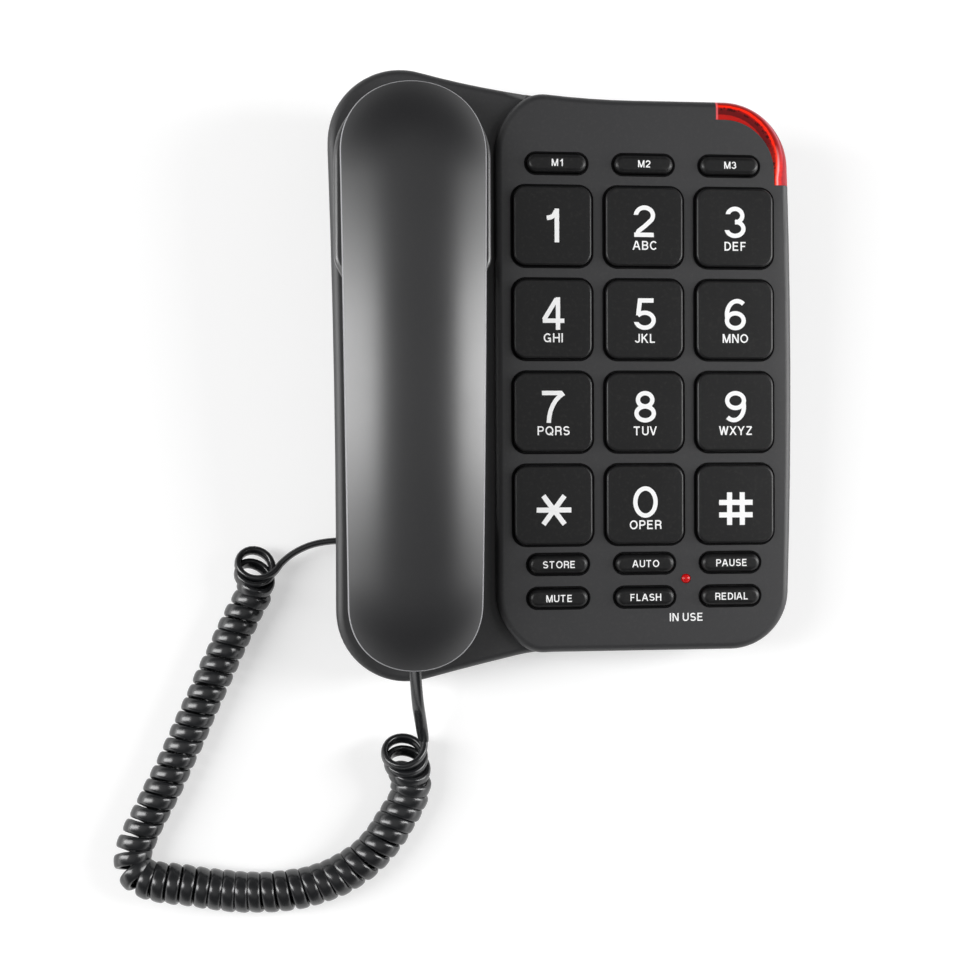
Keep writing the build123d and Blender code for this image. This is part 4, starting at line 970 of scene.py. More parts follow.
        pitch = pitch * (1.0 - self.closer_start * near_start) * (1.0 + waves(self.uneven_pitch, s))
        phase = self.phase(s, pitch, turning)
        lying = 1.0 - smoothstep(first, first + self.lying, s)
        lean = self.lean_start * lying - self.lean_end * near_end + waves(self.uneven_lean, s)
        lean = np.radians(lean)[:, None]
        down = -(np.cos(lean) * up + np.sin(lean) * level)
        normal = np.cos(lean) * level - np.sin(lean) * up
        from_edge = near_start - near_end
        aside, below = (np.cos(phase) + from_edge)[:, None], np.sin(phase)[:, None]
        points = axis + r[:, None] * (aside * side + below * down)
        tops = (self.lift_start, first + self.lift_inset), (self.lift_end, last - self.lift_inset)
        for lift, top in tops:
            points[:, 2] += lift * np.exp(-(((s - top) / self.lift_reach) ** 2))
        tail = np.where((s > middle)[:, None], self.far_tail, -up)
        ending = 1.0 - smoothstep(last - self.wound, last + self.settling, s)
        coiled = (smoothstep(first - self.settling, first + self.wound, s) * ending)[:, None]
        return points, units(coiled * normal + (1.0 - coiled) * tail)

    def build(self) -> bpy.types.Object:
        """Sweeps a rounded flat section along the helix and closes both ends.

        The section is x = a |cos t|^(2/n), y = b |sin t|^(2/n), each with the sign of its cosine or sine.
        """
        points, wide = self.helix()
        run = units(np.gradient(points, axis=0))
        across = units(np.cross(run, wide))
        wide = np.cross(across, run)
        t = np.linspace(0.0, 2.0 * math.pi, self.around, endpoint=False)
        power = 2.0 / self.corner
        a, b = (
            size / 2.0 * np.sign(wave) * np.abs(wave) ** power
            for size, wave in ((self.width, np.cos(t)), (self.thickness, np.sin(t)))
        )
        rings = points[:, None] + a[None, :, None] * wide[:, None] + b[None, :, None] * across[:, None]
        vertices = np.concatenate([rings.reshape(-1, 3), points[:1], points[-1:]]) * MM
        count, tips = self.around, len(rings) * self.around
        turn = np.arange(count)
        ahead, last_row = (turn + 1) % count, tips - count
        first_cap = np.stack([turn, ahead, np.full(count, tips)], axis=1)
        last_cap = np.stack([last_row + ahead, last_row + turn, np.full(count, tips + 1)], axis=1)
        faces = [*grid_faces(len(rings), count, True)[:, ::-1], *first_cap, *last_cap]
        made = mesh_object("curly_cord", vertices, faces)
        PAINTS.dress(made, Finish.CORD)
        log.info("curly_cord: %.3f m long", np.linalg.norm(np.diff(points, axis=0), axis=1).sum() * MM)
        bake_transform(made)
        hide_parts("cord_tail_base", "cord_coil", "cord_tail_handset")
        return made


# ---------------------------------------------------------------- the handset's cover
@dataclass
class HandsetCover:
    """The glossy crowned cover: a barrel with round ends, a small rounded edge and a short side wall.

    With e the distance across from the middle line, W the top, L the long radius and S the side radius, the
    barrel's height is w = W - L + sqrt((L - S + sqrt(S^2 - e^2))^2 - v^2), and beyond the middle of each cup it
    is the sphere of radius S that the barrel ends in.
    """

    middle: float = -77.8
    ear: tuple[float, float] = (67.9, 23.7)      # v and radius of each cup
    mouth: tuple[float, float] = (-78.1, 21.9)
    top: float = 21.8
    long_radius: float = 900.0
    side_radius: float = 46.0
    rim_depth: float = 8.3
    edge: float = 0.8
    wall: float = 1.8
    ease: float = 10.0           # half the stretch over which the barrel eases into its round ends
    shoulder: float = 0.02       # how much fuller the ends are at their shoulders
    stretch_points: int = 80     # points on each arc and each straight side
    ease_steps: int = 11
    crown_rows: int = 22
    edge_rows: int = 8

    def crown(self, u: np.ndarray, v: np.ndarray) -> np.ndarray:
        """Height of the crowned top: the mean of the bare barrel's height over a short stretch along v.

        Args:
            u, v: face coordinates.
        Returns:
            w at each point.
        """
        shifts = np.linspace(-self.ease, self.ease, self.ease_steps)
        return np.mean([self.barrel(u, v + shift) for shift in shifts], axis=0)

    def barrel(self, u: np.ndarray, v: np.ndarray) -> np.ndarray:
        """Height of the barrel with its round ends at face points.

        Args:
            u, v: face coordinates.
        Returns:
            w at each point.
        """
        centre_w = self.top - self.long_radius
        arc = self.long_radius - self.side_radius
        across = (u - self.middle) ** 2
        height = centre_w + np.sqrt((arc + np.sqrt(self.side_radius**2 - across)) ** 2 - v**2)
        lean = np.arctan2(v, -centre_w)
        for (end_v, _), way in ((self.ear, 1.0), (self.mouth, -1.0)):
            angle = end_v / self.long_radius
            cv, cw = arc * math.sin(angle), centre_w + arc * math.cos(angle)
            sphere = cw + np.sqrt(np.maximum(self.side_radius**2 - across - (v - cv) ** 2, 1.0))
            height = np.where(way * (lean - angle) > 0.0, sphere, height)
        return height

    def arc(self, cup: tuple[float, float], start: float, end: float) -> np.ndarray:
        """Outline of a round end, a little fuller at its shoulders: radius R (1 + k sin(2a)^2) at angle a.

        Args:
            cup: v and radius of the cup.
            start, end: its angles.
        Returns:
            Rows of u, v.
        """
        v, radius = cup
        angle = np.linspace(start, end, self.stretch_points)
        reach = radius * (1.0 + self.shoulder * np.sin(2.0 * angle) ** 2)
        return np.stack([self.middle + reach * np.cos(angle), v + reach * np.sin(angle)], 1)

    def outline(self) -> tuple[np.ndarray, np.ndarray]:
        """The cover's plan outline and, for each of its points, the point of the middle line it belongs to.

        Returns:
            Rows of u, v on the outline, and rows of u, v on the middle line.
        """
        (ear_v, ear_r), (mouth_v, mouth_r) = self.ear, self.mouth
        tilt = math.asin((ear_r - mouth_r) / (ear_v - mouth_v))
        ear = self.arc(self.ear, -tilt, math.pi + tilt)
        mouth = self.arc(self.mouth, math.pi + tilt, 2.0 * math.pi - tilt)
        share = np.linspace(0.0, 1.0, self.stretch_points + 2)[1:-1, None]
        left, right = ear[-1] + share * (mouth[0] - ear[-1]), mouth[-1] + share * (ear[0] - mouth[-1])
        ends = [np.tile([self.middle, v], (self.stretch_points, 1)) for v in (ear_v, mouth_v)]
        down_line = ends[0] + share * (ends[1] - ends[0])
        spine = np.concatenate([ends[0], down_line, ends[1], down_line[::-1]])
        return np.concatenate([ear, left, mouth, right]), spine

    def rows(self) -> list[np.ndarray]:
        """Rows of u, v, w from the middle line out, over the rounded edge and down the side wall."""
        outline, spine = self.outline()
        reach = np.linalg.norm(outline - spine, axis=1)
        outward = (outline - spine) / reach[:, None]
        # The slope at the rim is taken over a stretch as long as the edge, which ends a fifth of it inside.
        near, far = outline - 1.2 * self.edge * outward, outline - 0.2 * self.edge * outward
        slope = np.arctan((self.crown(*near.T) - self.crown(*far.T)) / self.edge)
        inset = self.edge * (1.0 - np.sin(slope))
        rows = []
        for share in np.sin(np.linspace(0.0, math.pi / 2.0, self.crown_rows)):
            spot = spine + share * (outline - spine) * ((reach - inset) / reach)[:, None]
            rows.append(np.column_stack([spot, self.crown(spot[:, 0], spot[:, 1])]))
        rim = rows[-1]
        for share in np.linspace(0.0, 1.0, self.edge_rows)[1:]:
            turn = slope + share * (math.pi / 2.0 - slope)
            spot = rim[:, :2] + outward * (self.edge * (np.sin(turn) - np.sin(slope)))[:, None]
            rows.append(np.column_stack([spot, rim[:, 2] - self.edge * (np.cos(slope) - np.cos(turn))]))
        seam = self.long_radius - self.rim_depth
        crease = np.sqrt(seam**2 - outline[:, 1] ** 2) + self.top - self.long_radius
        for share in (0.5, 1.0):
            rows.append(np.column_stack([outline, rows[-1][:, 2] * (1 - share) + crease * share]))
        return rows

    def build(self) -> bpy.types.Object:
        """Makes the skin with a pale painted highlight along its rounded edge, and gives it a wall."""
        rows = self.rows()
        count = len(rows[0])
        faces = grid_faces(len(rows), count, True)
        made = mesh_object("handset_cover_skin", FACE.world(np.concatenate(rows)), faces)
        PAINTS.dress(made, Finish.HANDSET, Finish.PAINTED_RIM_HIGHLIGHT)
        # The faces of the rounded edge take the pale colour: a painted highlight.
        highlight_band = np.zeros(len(faces), np.int32)
        highlight_band[count * (self.crown_rows - 1) : count * (self.crown_rows + self.edge_rows - 3)] = 1
        made.data.polygons.foreach_set("material_index", highlight_band)
        merge_points(made, 1e-6, outward=True)
        shell = made.modifiers.new("wall", "SOLIDIFY")
        shell.thickness, shell.offset, shell.use_even_offset = self.wall * MM, -1.0, False
        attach(made, "handset")
        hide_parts("handset_cover")
        return made


# ---------------------------------------------------------------- legends
# Each sign is drawn with a pen on a box one unit high. Strokes are parted by |. A step is a point x,y or an
# arc x,y,rx,ry,from,to round the centre x,y, with its angles in degrees.
SIGNS = {
    "0": "0.3,0.5,0.275,0.42,0,360",
    "1": "0.36,0 0.36,1 | 0.1,0.72 0.14,0.99,0.2,0.26,-80,-8",
    "2": "0.3,0.68,0.23,0.24,176,-36 0.31,0.35 0.14,0.2 0.1,0.1 | 0.02,0.08 0.55,0.08",
    "3": "0.28,0.71,0.2,0.21,168,-90 | 0.28,0.3,0.23,0.22,90,-168",
    "4": "0.41,0 0.41,1 | 0.39,0.98 0.05,0.34 | 0,0.28 0.58,0.28",
    "5": "0.52,0.92 0.15,0.92 0.1,0.46 | 0.28,0.31,0.24,0.23,142,-165",
    "6": "0.3,0.31,0.23,0.23,0,360 | 0.35,0.5,0.28,0.42,52,200",
    "7": "0.02,0.92 0.56,0.92 | 0.88,0,0.68,1.0,114,180",
    "8": "0.3,0.715,0.195,0.205,0,360 | 0.3,0.295,0.235,0.215,0,360",
    "9": "0.29,0.69,0.23,0.23,0,360 | 0.24,0.5,0.28,0.42,-128,20",
    "A": "0.02,0 0.31,1 | 0.37,1 0.66,0 | 0.14,0.34 0.54,0.34",
    "B": "0.08,0 0.08,1 | 0.08,0.92 0.36,0.72,0.19,0.2,90,-90 0.08,0.52 | 0.36,0.3,0.22,0.22,90,-90 0.08,0.08",
    "C": "0.38,0.5,0.31,0.42,40,320",
    "D": "0.08,0 0.08,1 | 0.08,0.92 0.28,0.5,0.33,0.42,90,-90 0.08,0.08",
    "E": "0.08,0 0.08,1 | 0.08,0.92 0.56,0.92 | 0.08,0.52 0.52,0.52 | 0.08,0.08 0.58,0.08",
    "F": "0.08,0 0.08,1 | 0.08,0.92 0.54,0.92 | 0.08,0.5 0.48,0.5",
    "G": "0.39,0.5,0.32,0.42,42,330 | 0.42,0.44 0.7,0.44 | 0.66,0.48 0.66,0",
    "H": "0.08,0 0.08,1 | 0.62,0 0.62,1 | 0.08,0.52 0.62,0.52",
    "I": "0.08,0 0.08,1",
    "J": "0.42,1 0.24,0.26,0.18,0.18,0,-180",
    "K": "0.08,0 0.08,1 | 0.58,1 0.1,0.4 | 0.26,0.6 0.62,0",
    "L": "0.08,0 0.08,1 | 0.08,0.08 0.52,0.08",
    "M": "0.08,0 0.08,1 | 0.74,0 0.74,1 | 0.1,1 0.41,0 | 0.41,0 0.72,1",
    "N": "0.08,0 0.08,1 | 0.62,0 0.62,1 | 0.1,1 0.6,0",
    "O": "0.4,0.5,0.33,0.42,0,360",
    "P": "0.08,0 0.08,1 | 0.08,0.92 0.36,0.69,0.21,0.23,90,-90 0.08,0.46",
    "Q": "0.4,0.5,0.33,0.42,0,360 | 0.46,0.26 0.74,-0.02",
    "R": "0.08,0 0.08,1 | 0.08,0.92 0.38,0.7,0.2,0.22,90,-90 0.08,0.48 | 0.38,0.3,0.19,0.18,90,0 0.58,0",
    "S": "0.33,0.71,0.24,0.21,25,270 | 0.33,0.29,0.26,0.21,90,-155",
    "T": "0,0.92 0.62,0.92 | 0.31,0 0.31,0.92",
    "U": "0.08,1 0.34,0.34,0.26,0.26,180,360 0.6,1",
    "V": "0.02,1 0.31,0 | 0.31,0 0.6,1",
    "W": "0.02,1 0.22,0 | 0.22,0 0.43,1 | 0.43,1 0.64,0 | 0.64,0 0.84,1",
    "X": "0.02,0 0.6,1 | 0.02,1 0.6,0",
    "Y": "0.02,1 0.31,0.4 | 0.6,1 0.31,0.4 | 0.31,0.46 0.31,0",
    "Z": "0.05,0.92 0.57,0.92 | 0.55,0.9 0.07,0.1 | 0.03,0.08 0.59,0.08",
    "*": "0,0.5 1.08,0.5 | 0.21,0.05 0.87,0.95 | 0.21,0.95 0.87,0.05",
    "#": "0.32,0 0.32,1 | 0.71,0 0.71,1 | 0,0.31 1.03,0.31 | 0,0.69 1.03,0.69",
    " ": "",
}


@dataclass(frozen=True)
class Pen:
    """A flat pen that turns a line into a ribbon; steep ends are cut level, as in printed signs."""

    width: float
    stretch: float = 1.0
    layer: float = 0.003         # how much higher each next stroke of a sign lies
    arc_step: float = 9.0        # degrees
    arc_points: int = 6          # at least
    least_share: float = 0.6     # keeps the mitre of a sharp turn short
    steep: float = 0.82          # ends that rise more steeply are cut level

    def line(self, steps: str) -> np.ndarray:
        """Points of one stroke.

        Args:
            steps: its points and arcs.
        Returns:
            Rows of x, y.
        """
        points = []
        for step in steps.split():
            numbers = [float(number) for number in step.split(",")]
            if len(numbers) == 2:
                points.append(numbers)
            else:
                x, y, rx, ry, start, end = numbers
                count = max(self.arc_points, int(abs(end - start) / self.arc_step))
                angle = np.radians(np.linspace(start, end, count))
                points.extend(np.stack([x + rx * np.cos(angle), y + ry * np.sin(angle)], axis=1).tolist())
        return np.array(points) * [self.stretch, 1.0]

    def ribbon(self, line: np.ndarray) -> tuple[np.ndarray, np.ndarray]:
        """Left and right edges of a stroke: p +- n w / 2, with n the mitred normal.

        Args:
            line: rows of x, y.
        Returns:
            Rows of the left edge and of the right edge.
        """
        run = units(np.diff(line, axis=0))
        normals = np.stack([-run[:, 1], run[:, 0]], axis=1)
        closed = bool(np.allclose(line[0], line[-1]))
        before = np.vstack([normals[-1:] if closed else normals[:1], normals])
        after = np.vstack([normals, normals[:1] if closed else normals[-1:]])
        share = np.maximum(1.0 + np.sum(before * after, axis=1), self.least_share)
        mitre = (before + after) / share[:, None]
        if not closed:
            for end in (0, -1):
                if abs(mitre[end, 0]) > self.steep:
                    mitre[end] = (1.0 / mitre[end, 0], 0.0)
        return line + mitre * self.width / 2.0, line - mitre * self.width / 2.0


@dataclass(frozen=True)
class Legend:
    """One printed word or sign, centred at a face point."""

    words: str
    spot: tuple[float, float]
    height: float
    body: str
    level: float = 1.8
    pen: Pen = Pen(0.136, 1.16)
    gap: float = 0.17
    space: float = 0.16
    proud: float = 0.03
    sunk: float = 0.05

    def stroke(self, line: np.ndarray, lift: float) -> tuple[np.ndarray, np.ndarray, list]:
        """One stroke as a thin closed ribbon, its upper side raised by lift.

        Args:
            line: rows of x, y.
            lift: in millimetres.
        Returns:
            Rows of x, y, w, the quads between them, and the quads at open ends.
        """
        left, right = self.pen.ribbon(line)
        count = len(line)
        top = np.full(count, self.level + self.proud + lift)
        bottom = np.full(count, self.level - self.sunk)
        edges = ((left, top), (right, top), (right, bottom), (left, bottom))
        here = np.arange(count - 1)
        pairs = [(row * count + here, (row + 1) % 4 * count + here) for row in range(4)]
        quads = np.concatenate([np.stack([a, b, b + 1, a + 1], axis=1) for a, b in pairs])
        corners = np.arange(4) * count
        caps = [] if np.allclose(line[0], line[-1]) else [corners[::-1], corners + count - 1]
        return np.concatenate([np.column_stack([edge, w]) for edge, w in edges]), quads, caps

    def build(self) -> bpy.types.Object:
        """Draws the words with the pen on the face."""
        vertices, faces, start, begin = [], [], 0, 0.0
        for letter in self.words:
            lines = [self.pen.line(steps) for steps in SIGNS[letter].split("|") if steps.strip()]
            for number, line in enumerate(lines):
                points, quads, caps = self.stroke(line + [begin, 0.0], self.pen.layer * number)
                vertices.append(points)
                faces.extend(start + face for face in (*quads, *caps))
                start += len(points)
            right = np.concatenate(lines)[:, 0].max() + self.pen.width / 2.0 if lines else self.space
            begin += right + self.gap
        points = np.concatenate(vertices)
        low, high = points.min(axis=0), points.max(axis=0)
        points[:, :2] = (points[:, :2] - (low + high)[:2] / 2.0) * self.height + self.spot
        name = "legend_" + "".join(c if c.isalnum() else "x" for c in self.words) + f"_{self.body}"
        made = mesh_object(name, FACE.world(points), faces, False)
        merge_points(made, 1e-7)
        PAINTS.dress(made, Finish.INK)
        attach(made, self.body)
        return made


@dataclass
class PaintedGapShade:
    """Painted shade round the key holes: thin dark bands laid on the face beside the gaps, that ride with it.

    A loop that lies d outside a hole with half sizes a, b and corner radius r keeps the centres of its
    corners: p = c + (+-(a - r), +-(b - r)) + (r + d)(cos t, sin t), with t from 0 to 360 degrees.
    """

    width: float = 0.5
    inset: float = 0.03
    proud: float = 0.012
    sunk: float = 0.08
    steps: int = 24
    loops: list[np.ndarray] = field(default_factory=list)

    def add(self, middle: tuple[float, float], half: tuple[float, float], corner: float) -> None:
        """Takes in one hole.

        Args:
            middle: its centre on the face.
            half: its half length and half width.
            corner: its corner radius.
        """
        t = np.radians(90.0 * np.arange(4)[:, None] + np.linspace(0.0, 90.0, self.steps))
        signs = np.array([[1, 1], [-1, 1], [-1, -1], [1, -1]], float)[:, None, :]
        centres = np.array(middle) + signs * (np.array(half) - corner)
        ways = np.stack([np.cos(t), np.sin(t)], axis=-1)
        inner, outer = -self.inset, self.width
        low, high = -self.sunk, self.proud
        for grown, level in ((inner, low), (outer, low), (outer, high), (inner, high), (inner, low)):
            flat = (centres + (corner + grown) * ways).reshape(-1, 2)
            self.loops.append(np.column_stack([flat, np.full(len(flat), level)]))

    def build(self) -> bpy.types.Object:
        """Makes all the bands of painted shade as one piece."""
        count = 4 * self.steps
        one = grid_faces(5, count, True)
        faces = np.concatenate([one + start * count for start in range(0, len(self.loops), 5)])
        made = mesh_object("key_gap_painted_shade", FACE.world(np.concatenate(self.loops)), faces, False)
        merge_points(made, 1e-7)
        PAINTS.dress(made, Finish.PAINTED_GAP_SHADE)
        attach(made, "base")
        return made


@dataclass
class Keypad:
    """The dial keys, the function keys and their legends."""

    pitch: float = 31.0
    function_pitch: float = 29.4
    function_rows: tuple[float, float, float] = (67.4, -66.3, -77.6)     # memory, store and mute keys
    dial_half: tuple[float, float] = (13.5, 13.5)
    dial_corner: float = 4.6
    function_half: tuple[float, float] = (10.4, 3.45)
    function_corner: float = 3.45
    digit_up: float = 1.75
    letters_down: float = 6.3
    zero_drop: float = 0.9       # how much lower the zero and its word are
    digit_height: float = 10.8
    lone_height: float = 11.2
    letters_height: float = 3.0
    word_height: float = 2.4
    sign_down: float = 1.6
    star_height: float = 10.6
    hash_height: float = 11.0
    use_spot: tuple[float, float] = (14.2, -84.6)
    use_height: float = 2.75
    letter_pen: Pen = Pen(0.155, 1.13)
    sign_pen: Pen = Pen(0.16, 1.02)
    dial: tuple[tuple[str, str, str], ...] = (
        ("key_1", "1", ""),
        ("key_2", "2", "ABC"),
        ("key_3", "3", "DEF"),
        ("key_4", "4", "GHI"),
        ("key_5", "5", "JKL"),
        ("key_6", "6", "MNO"),
        ("key_7", "7", "PQRS"),
        ("key_8", "8", "TUV"),
        ("key_9", "9", "WXYZ"),
        ("key_star", "*", ""),
        ("key_0", "0", "OPER"),
        ("key_hash", "#", ""),
    )
    functions: tuple[tuple[str, str], ...] = (
        ("memory_key_1", "M1"),
        ("memory_key_2", "M2"),
        ("memory_key_3", "M3"),
        ("store_key", "STORE"),
        ("auto_key", "AUTO"),
        ("pause_key", "PAUSE"),
        ("mute_key", "MUTE"),
        ("flash_key", "FLASH"),
        ("redial_key", "REDIAL"),
    )

    def dial_legends(self, node: str, sign: str, letters: str, u: float, v: float) -> None:
        """Lays the sign and the letters of one dial key.

        Args:
            node: the key.
            sign, letters: what it says; a key may have no letters.
            u, v: its middle.
        """
        drop = self.zero_drop if sign == "0" else 0.0
        if letters:
            Legend(sign, (u, v + self.digit_up - drop), self.digit_height, node).build()
            spot = (u, v - self.letters_down - drop / 2.0)
            Legend(letters, spot, self.letters_height, node, pen=self.letter_pen).build()
        elif sign.isdigit():
            Legend(sign, (u, v), self.lone_height, node).build()
        else:
            height = self.hash_height if sign == "#" else self.star_height
            Legend(sign, (u, v - self.sign_down), height, node, pen=self.sign_pen).build()

    def build(self) -> None:
        """Dresses the keys, lays a legend on each and paints shade round their holes."""
        gap_shades = PaintedGapShade()
        for number, (node, sign, letters) in enumerate(self.dial):
            CarriedPart(node, node, Finish.KEYS, "keys").build()
            spot = ((number % 3 - 1) * self.pitch, (1.5 - number // 3) * self.pitch)
            gap_shades.add(spot, self.dial_half, self.dial_corner)
            self.dial_legends(node, sign, letters, *spot)
        for number, (node, word) in enumerate(self.functions):
            CarriedPart(node, node, Finish.KEYS, "keys").build()
            spot = ((number % 3 - 1) * self.function_pitch, self.function_rows[number // 3])
            gap_shades.add(spot, self.function_half, self.function_corner)
            Legend(word, spot, self.word_height, node, pen=self.letter_pen).build()
        Legend("IN USE", self.use_spot, self.use_height, "base", level=0.0, pen=self.letter_pen).build()
        gap_shades.build()
        log.info("Keypad: %d keys with legends", len(self.dial) + len(self.functions))


@dataclass
class DeskBase(SubAssembly):
    """The two shells of the base with everything they hold."""

    outer: tuple[CarriedPart, ...] = (
        CarriedPart("base_top_shell", "base", Finish.HOUSING, "housing"),
        CarriedPart("base_bottom_shell", "base", Finish.HOUSING, "housing"),
        CarriedPart("rubber_feet", "base", Finish.FEET, "feet"),
        CarriedPart("corner_lens", "base", Finish.LENS, "ring_lens"),
        CarriedPart("in_use_led", "base", Finish.LAMP, "lamp", 60.0),
        CarriedPart("hook_plunger", "hook_plunger", Finish.KNOBS, "knobs"),
        CarriedPart("handset_retainer_tab", "base", Finish.HOUSING, "housing"),
        CarriedPart("line_jack", "base", Finish.JACKS, "jacks"),
        CarriedPart("base_handset_jack", "base", Finish.JACKS, "jacks"),
        CarriedPart("base_cord_plug", "base", Finish.PLUGS, "plugs"),
        CarriedPart("ringer_switch_knob", "ringer_switch_knob", Finish.KNOBS, "knobs"),
        CarriedPart("dial_mode_switch_knob", "dial_mode_switch_knob", Finish.KNOBS, "knobs"),
    )
    inner: tuple[tuple[str, Finish], ...] = (
        ("base_screws", Finish.SCREWS),
        ("ring_led_board", Finish.BOARD),
        ("keypad_mat", Finish.KEY_MAT),
        ("main_pcb", Finish.BOARD),
        ("pcb_screws", Finish.SCREWS),
        ("hook_switch", Finish.JACKS),
        ("ringer_speaker", Finish.STEEL),
        ("ballast_plate", Finish.STEEL),
        ("ringer_switch_body", Finish.JACKS),
        ("dial_mode_switch_body", Finish.JACKS),
    )

    def build(self) -> None:
        """Dresses the base's parts."""
        self.dress_parts()


@dataclass
class Handset(SubAssembly):
    """The handset: crowned cover, front shell and what lies inside."""

    cover: HandsetCover = field(default_factory=HandsetCover)
    outer: tuple[CarriedPart, ...] = (
        CarriedPart("handset_front_shell", "handset", Finish.HANDSET, "handset"),
        CarriedPart("handset_cord_plug", "handset", Finish.PLUGS, "plugs"),
        CarriedPart("handset_jack", "handset", Finish.JACKS, "jacks"),
    )
    inner: tuple[tuple[str, Finish], ...] = (
        ("handset_screws", Finish.SCREWS),
        ("ear_receiver", Finish.STEEL),
        ("mic_capsule", Finish.STEEL),
        ("mic_boot", Finish.FEET),
        ("handset_weight", Finish.STEEL),
    )

    def build(self) -> None:
        """Builds the cover and dresses the rest."""
        self.cover.build()
        self.dress_parts()


# ---------------------------------------------------------------- studio
def stand(name: str, data: bpy.types.ID, axes: np.ndarray, place: np.ndarray) -> bpy.types.Object:
    """A camera or a lamp in its place.

    Args:
        name: its name.
        data: its camera or lamp data.
        axes: world directions of its x, y and z, one to a row.
        place: its place in metres.
    Returns:
        The linked object.
    """
    made = bpy.data.objects.new(name, data)
    matrix = Matrix([[*row, 0.0] for row in axes.T.tolist()] + [[0.0, 0.0, 0.0, 1.0]])
    matrix.translation = Vector(place)
    made.matrix_world = matrix
    bpy.context.scene.collection.objects.link(made)
    return made


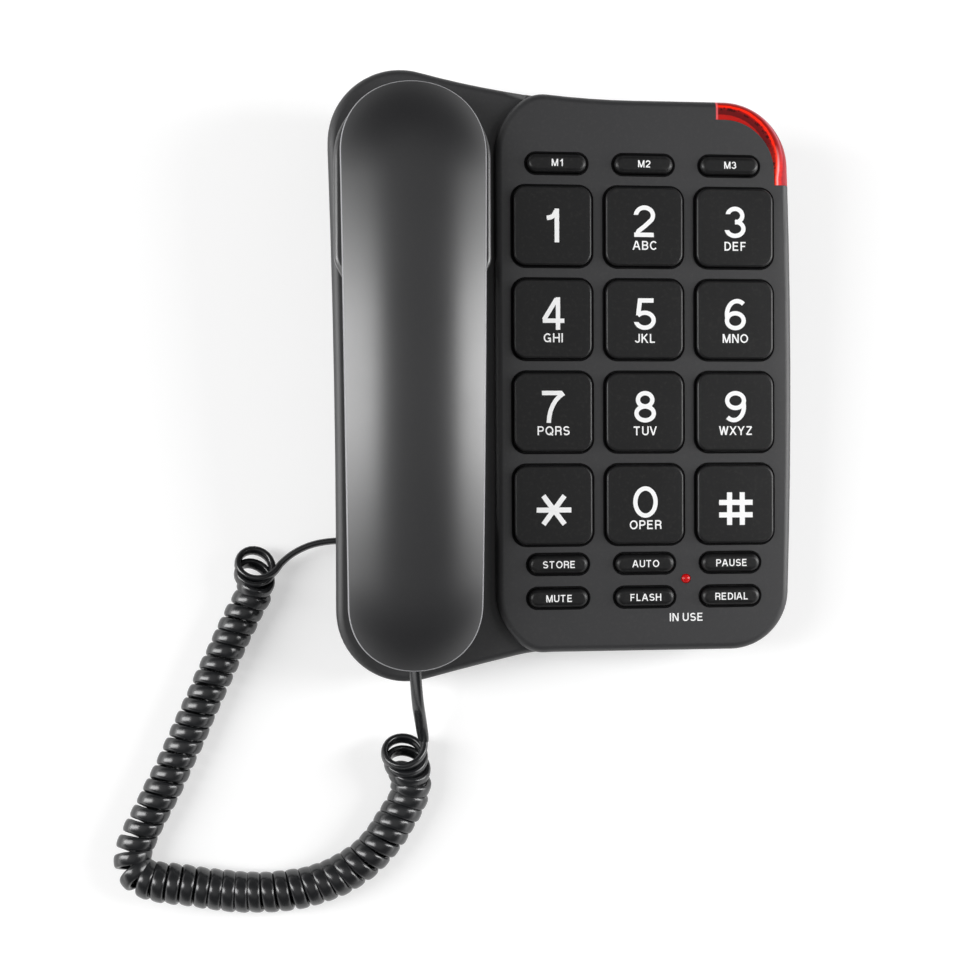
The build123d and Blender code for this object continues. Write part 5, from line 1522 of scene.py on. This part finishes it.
@dataclass
class Studio:
    """Camera, floor, sky and the two soft boxes."""

    yaw: float = math.radians(6.0349)
    pitch: float = math.radians(0.588)
    roll: float = math.radians(-0.2763)
    distance: float = 500.0
    aim: tuple[float, float] = (-55.531, -37.966)
    sensor: float = 36.0
    lens: float = 56.4303375
    floor_half: float = 4.0
    floor_tones: tuple[float, float] = (0.61, 0.64)
    floor_weave: float = 3.0     # patches of tone to a metre
    floor_roughness: float = 0.9
    floor_gloss: float = 0.1
    floor_glow: tuple[float, ...] = (0.5, 1.4, 0.46, 1.0)        # from and to, metres out; strength there
    overhead: tuple[float, ...] = (0.80, 1.0, 0.10, 0.42)        # from and to, height; strength there
    horizon: tuple[float, ...] = (0.05, 0.55, 1.0, 0.0)
    walls: tuple[float, float] = (0.15, 2.3)
    lit_spot: tuple[float, float, float] = (-77.8, -8.0, 10.0)   # what the soft boxes face
    box_distance: float = 0.9

    def camera(self) -> None:
        """Places the camera over the face: back = (-sin y cos p, sin p, cos y cos p) in face directions."""
        cos_pitch = math.cos(self.pitch)
        back = np.array(
            [-math.sin(self.yaw) * cos_pitch, math.sin(self.pitch), math.cos(self.yaw) * cos_pitch]
        )
        right = np.cross([0.0, 1.0, 0.0], back)
        right /= np.linalg.norm(right)
        up = np.cross(back, right)
        c, s = math.cos(self.roll), math.sin(self.roll)
        turned = np.stack([right * c + up * s, up * c - right * s, back])
        place = FACE.world(np.array([*self.aim, 0.0]) + self.distance * back)
        data = bpy.data.cameras.new("camera")
        data.sensor_width, data.lens, data.clip_start, data.clip_end = self.sensor, self.lens, 0.01, 50.0
        bpy.context.scene.camera = stand("camera", data, turned @ FACE.axes, place)

    def floor(self) -> None:
        """A wide pale floor with a faint weave of tone, bright to the eye and still taking the shadow.

        Its glow rises to plain white from 0.5 to 1.4 m out, so that it runs into the background.
        """
        corners = np.array([[-1, -1, 0], [1, -1, 0], [1, 1, 0], [-1, 1, 0]]) * self.floor_half
        made = mesh_object("floor", corners, [[0, 1, 2, 3]], False)
        sheet = Sheet("floor_paper")
        dark, pale = ((tone, tone, tone) for tone in self.floor_tones)
        sheet.set("Base Color", sheet.mixed(sheet.noise(self.floor_weave), dark, pale))
        sheet.set("Roughness", self.floor_roughness)
        sheet.set("Specular IOR Level", self.floor_gloss)
        path = sheet.node("LightPath").outputs
        seen = sheet.math("MAXIMUM", path["Is Camera Ray"], path["Is Glossy Ray"])
        seen = sheet.math("MAXIMUM", seen, path["Is Transmission Ray"])
        far = sheet.fade(sheet.vector("LENGTH", sheet.place()), *self.floor_glow, smooth=True)
        sheet.set("Emission Color", (1.0, 1.0, 1.0, 1.0))
        sheet.set("Emission Strength", sheet.math("MULTIPLY", seen, far))
        made.data.materials.append(sheet.material)

    def sky(self) -> None:
        """A dim room with pale side walls and a pale patch overhead, white to the eye.

        Strength = overhead(z) + horizon(z) (a + b x^2), where z is the direction's height and x its sideways
        share.
        """
        world = bpy.data.worlds.new("studio")
        world.use_nodes = True
        wiring = Wiring(world.node_tree)
        parts = wiring.parts(wiring.node("TexCoord").outputs["Generated"])
        overhead, horizon = (wiring.fade(parts["Z"], *f, smooth=True) for f in (self.overhead, self.horizon))
        square = wiring.math("MULTIPLY", parts["X"], parts["X"])
        sides = wiring.math("MULTIPLY_ADD", square, self.walls[1], self.walls[0])
        total = wiring.math("MULTIPLY_ADD", sides, horizon, overhead)
        background = world.node_tree.nodes["Background"].inputs
        seen = wiring.node("LightPath").outputs["Is Camera Ray"]
        wiring.feed(background["Strength"], wiring.math("MAXIMUM", seen, total))
        wiring.feed(background["Color"], (1.0, 1.0, 1.0, 1.0))
        bpy.context.scene.world = world

    def soft_box(
        self, name: str, angle: float, along: float, size: tuple[float, float], radiance: float
    ) -> None:
        """A rectangular soft box that faces the handset.

        Args:
            name: its name.
            angle: degrees from straight above the face, to the right where positive.
            along: degrees that it leans up the face.
            size: metres, first along the arc from above to the horizon, then along the face.
            radiance: brightness of its surface.
        """
        a, b = math.radians(angle), math.radians(along)
        z = np.array([math.sin(a) * math.cos(b), math.sin(b), math.cos(a) * math.cos(b)]) @ FACE.axes
        x = np.array([math.cos(a), 0.0, -math.sin(a)]) @ FACE.axes
        x = x - z * (x @ z)
        x /= np.linalg.norm(x)
        lamp = bpy.data.lights.new(name, "AREA")
        lamp.shape, lamp.size, lamp.size_y = "RECTANGLE", size[0], size[1]
        lamp.energy = radiance * math.pi * size[0] * size[1]
        place = FACE.world(np.array(self.lit_spot)) + self.box_distance * z
        stand(name, lamp, np.stack([x, np.cross(z, x), z]), place).visible_camera = False

    def build(self) -> None:
        """Sets up the whole studio."""
        self.camera()
        self.floor()
        self.sky()
        self.soft_box("soft_box_left", -53.0, 3.0, (0.84, 0.29), 9.2)
        self.soft_box("soft_box_right", 61.0, 3.0, (0.70, 0.29), 9.2)
        bpy.context.scene.view_settings.view_transform = "Standard"
        log.info("Studio: camera, floor, sky and two soft boxes")


def main() -> None:
    """Builds the telephone piece by piece."""
    logging.basicConfig(level=logging.INFO, format="%(name)s: %(message)s")
    Studio().build()
    CurlyCord().build()
    DeskBase().build()
    Handset().build()
    Keypad().build()


if __name__ == "__main__":
    main()
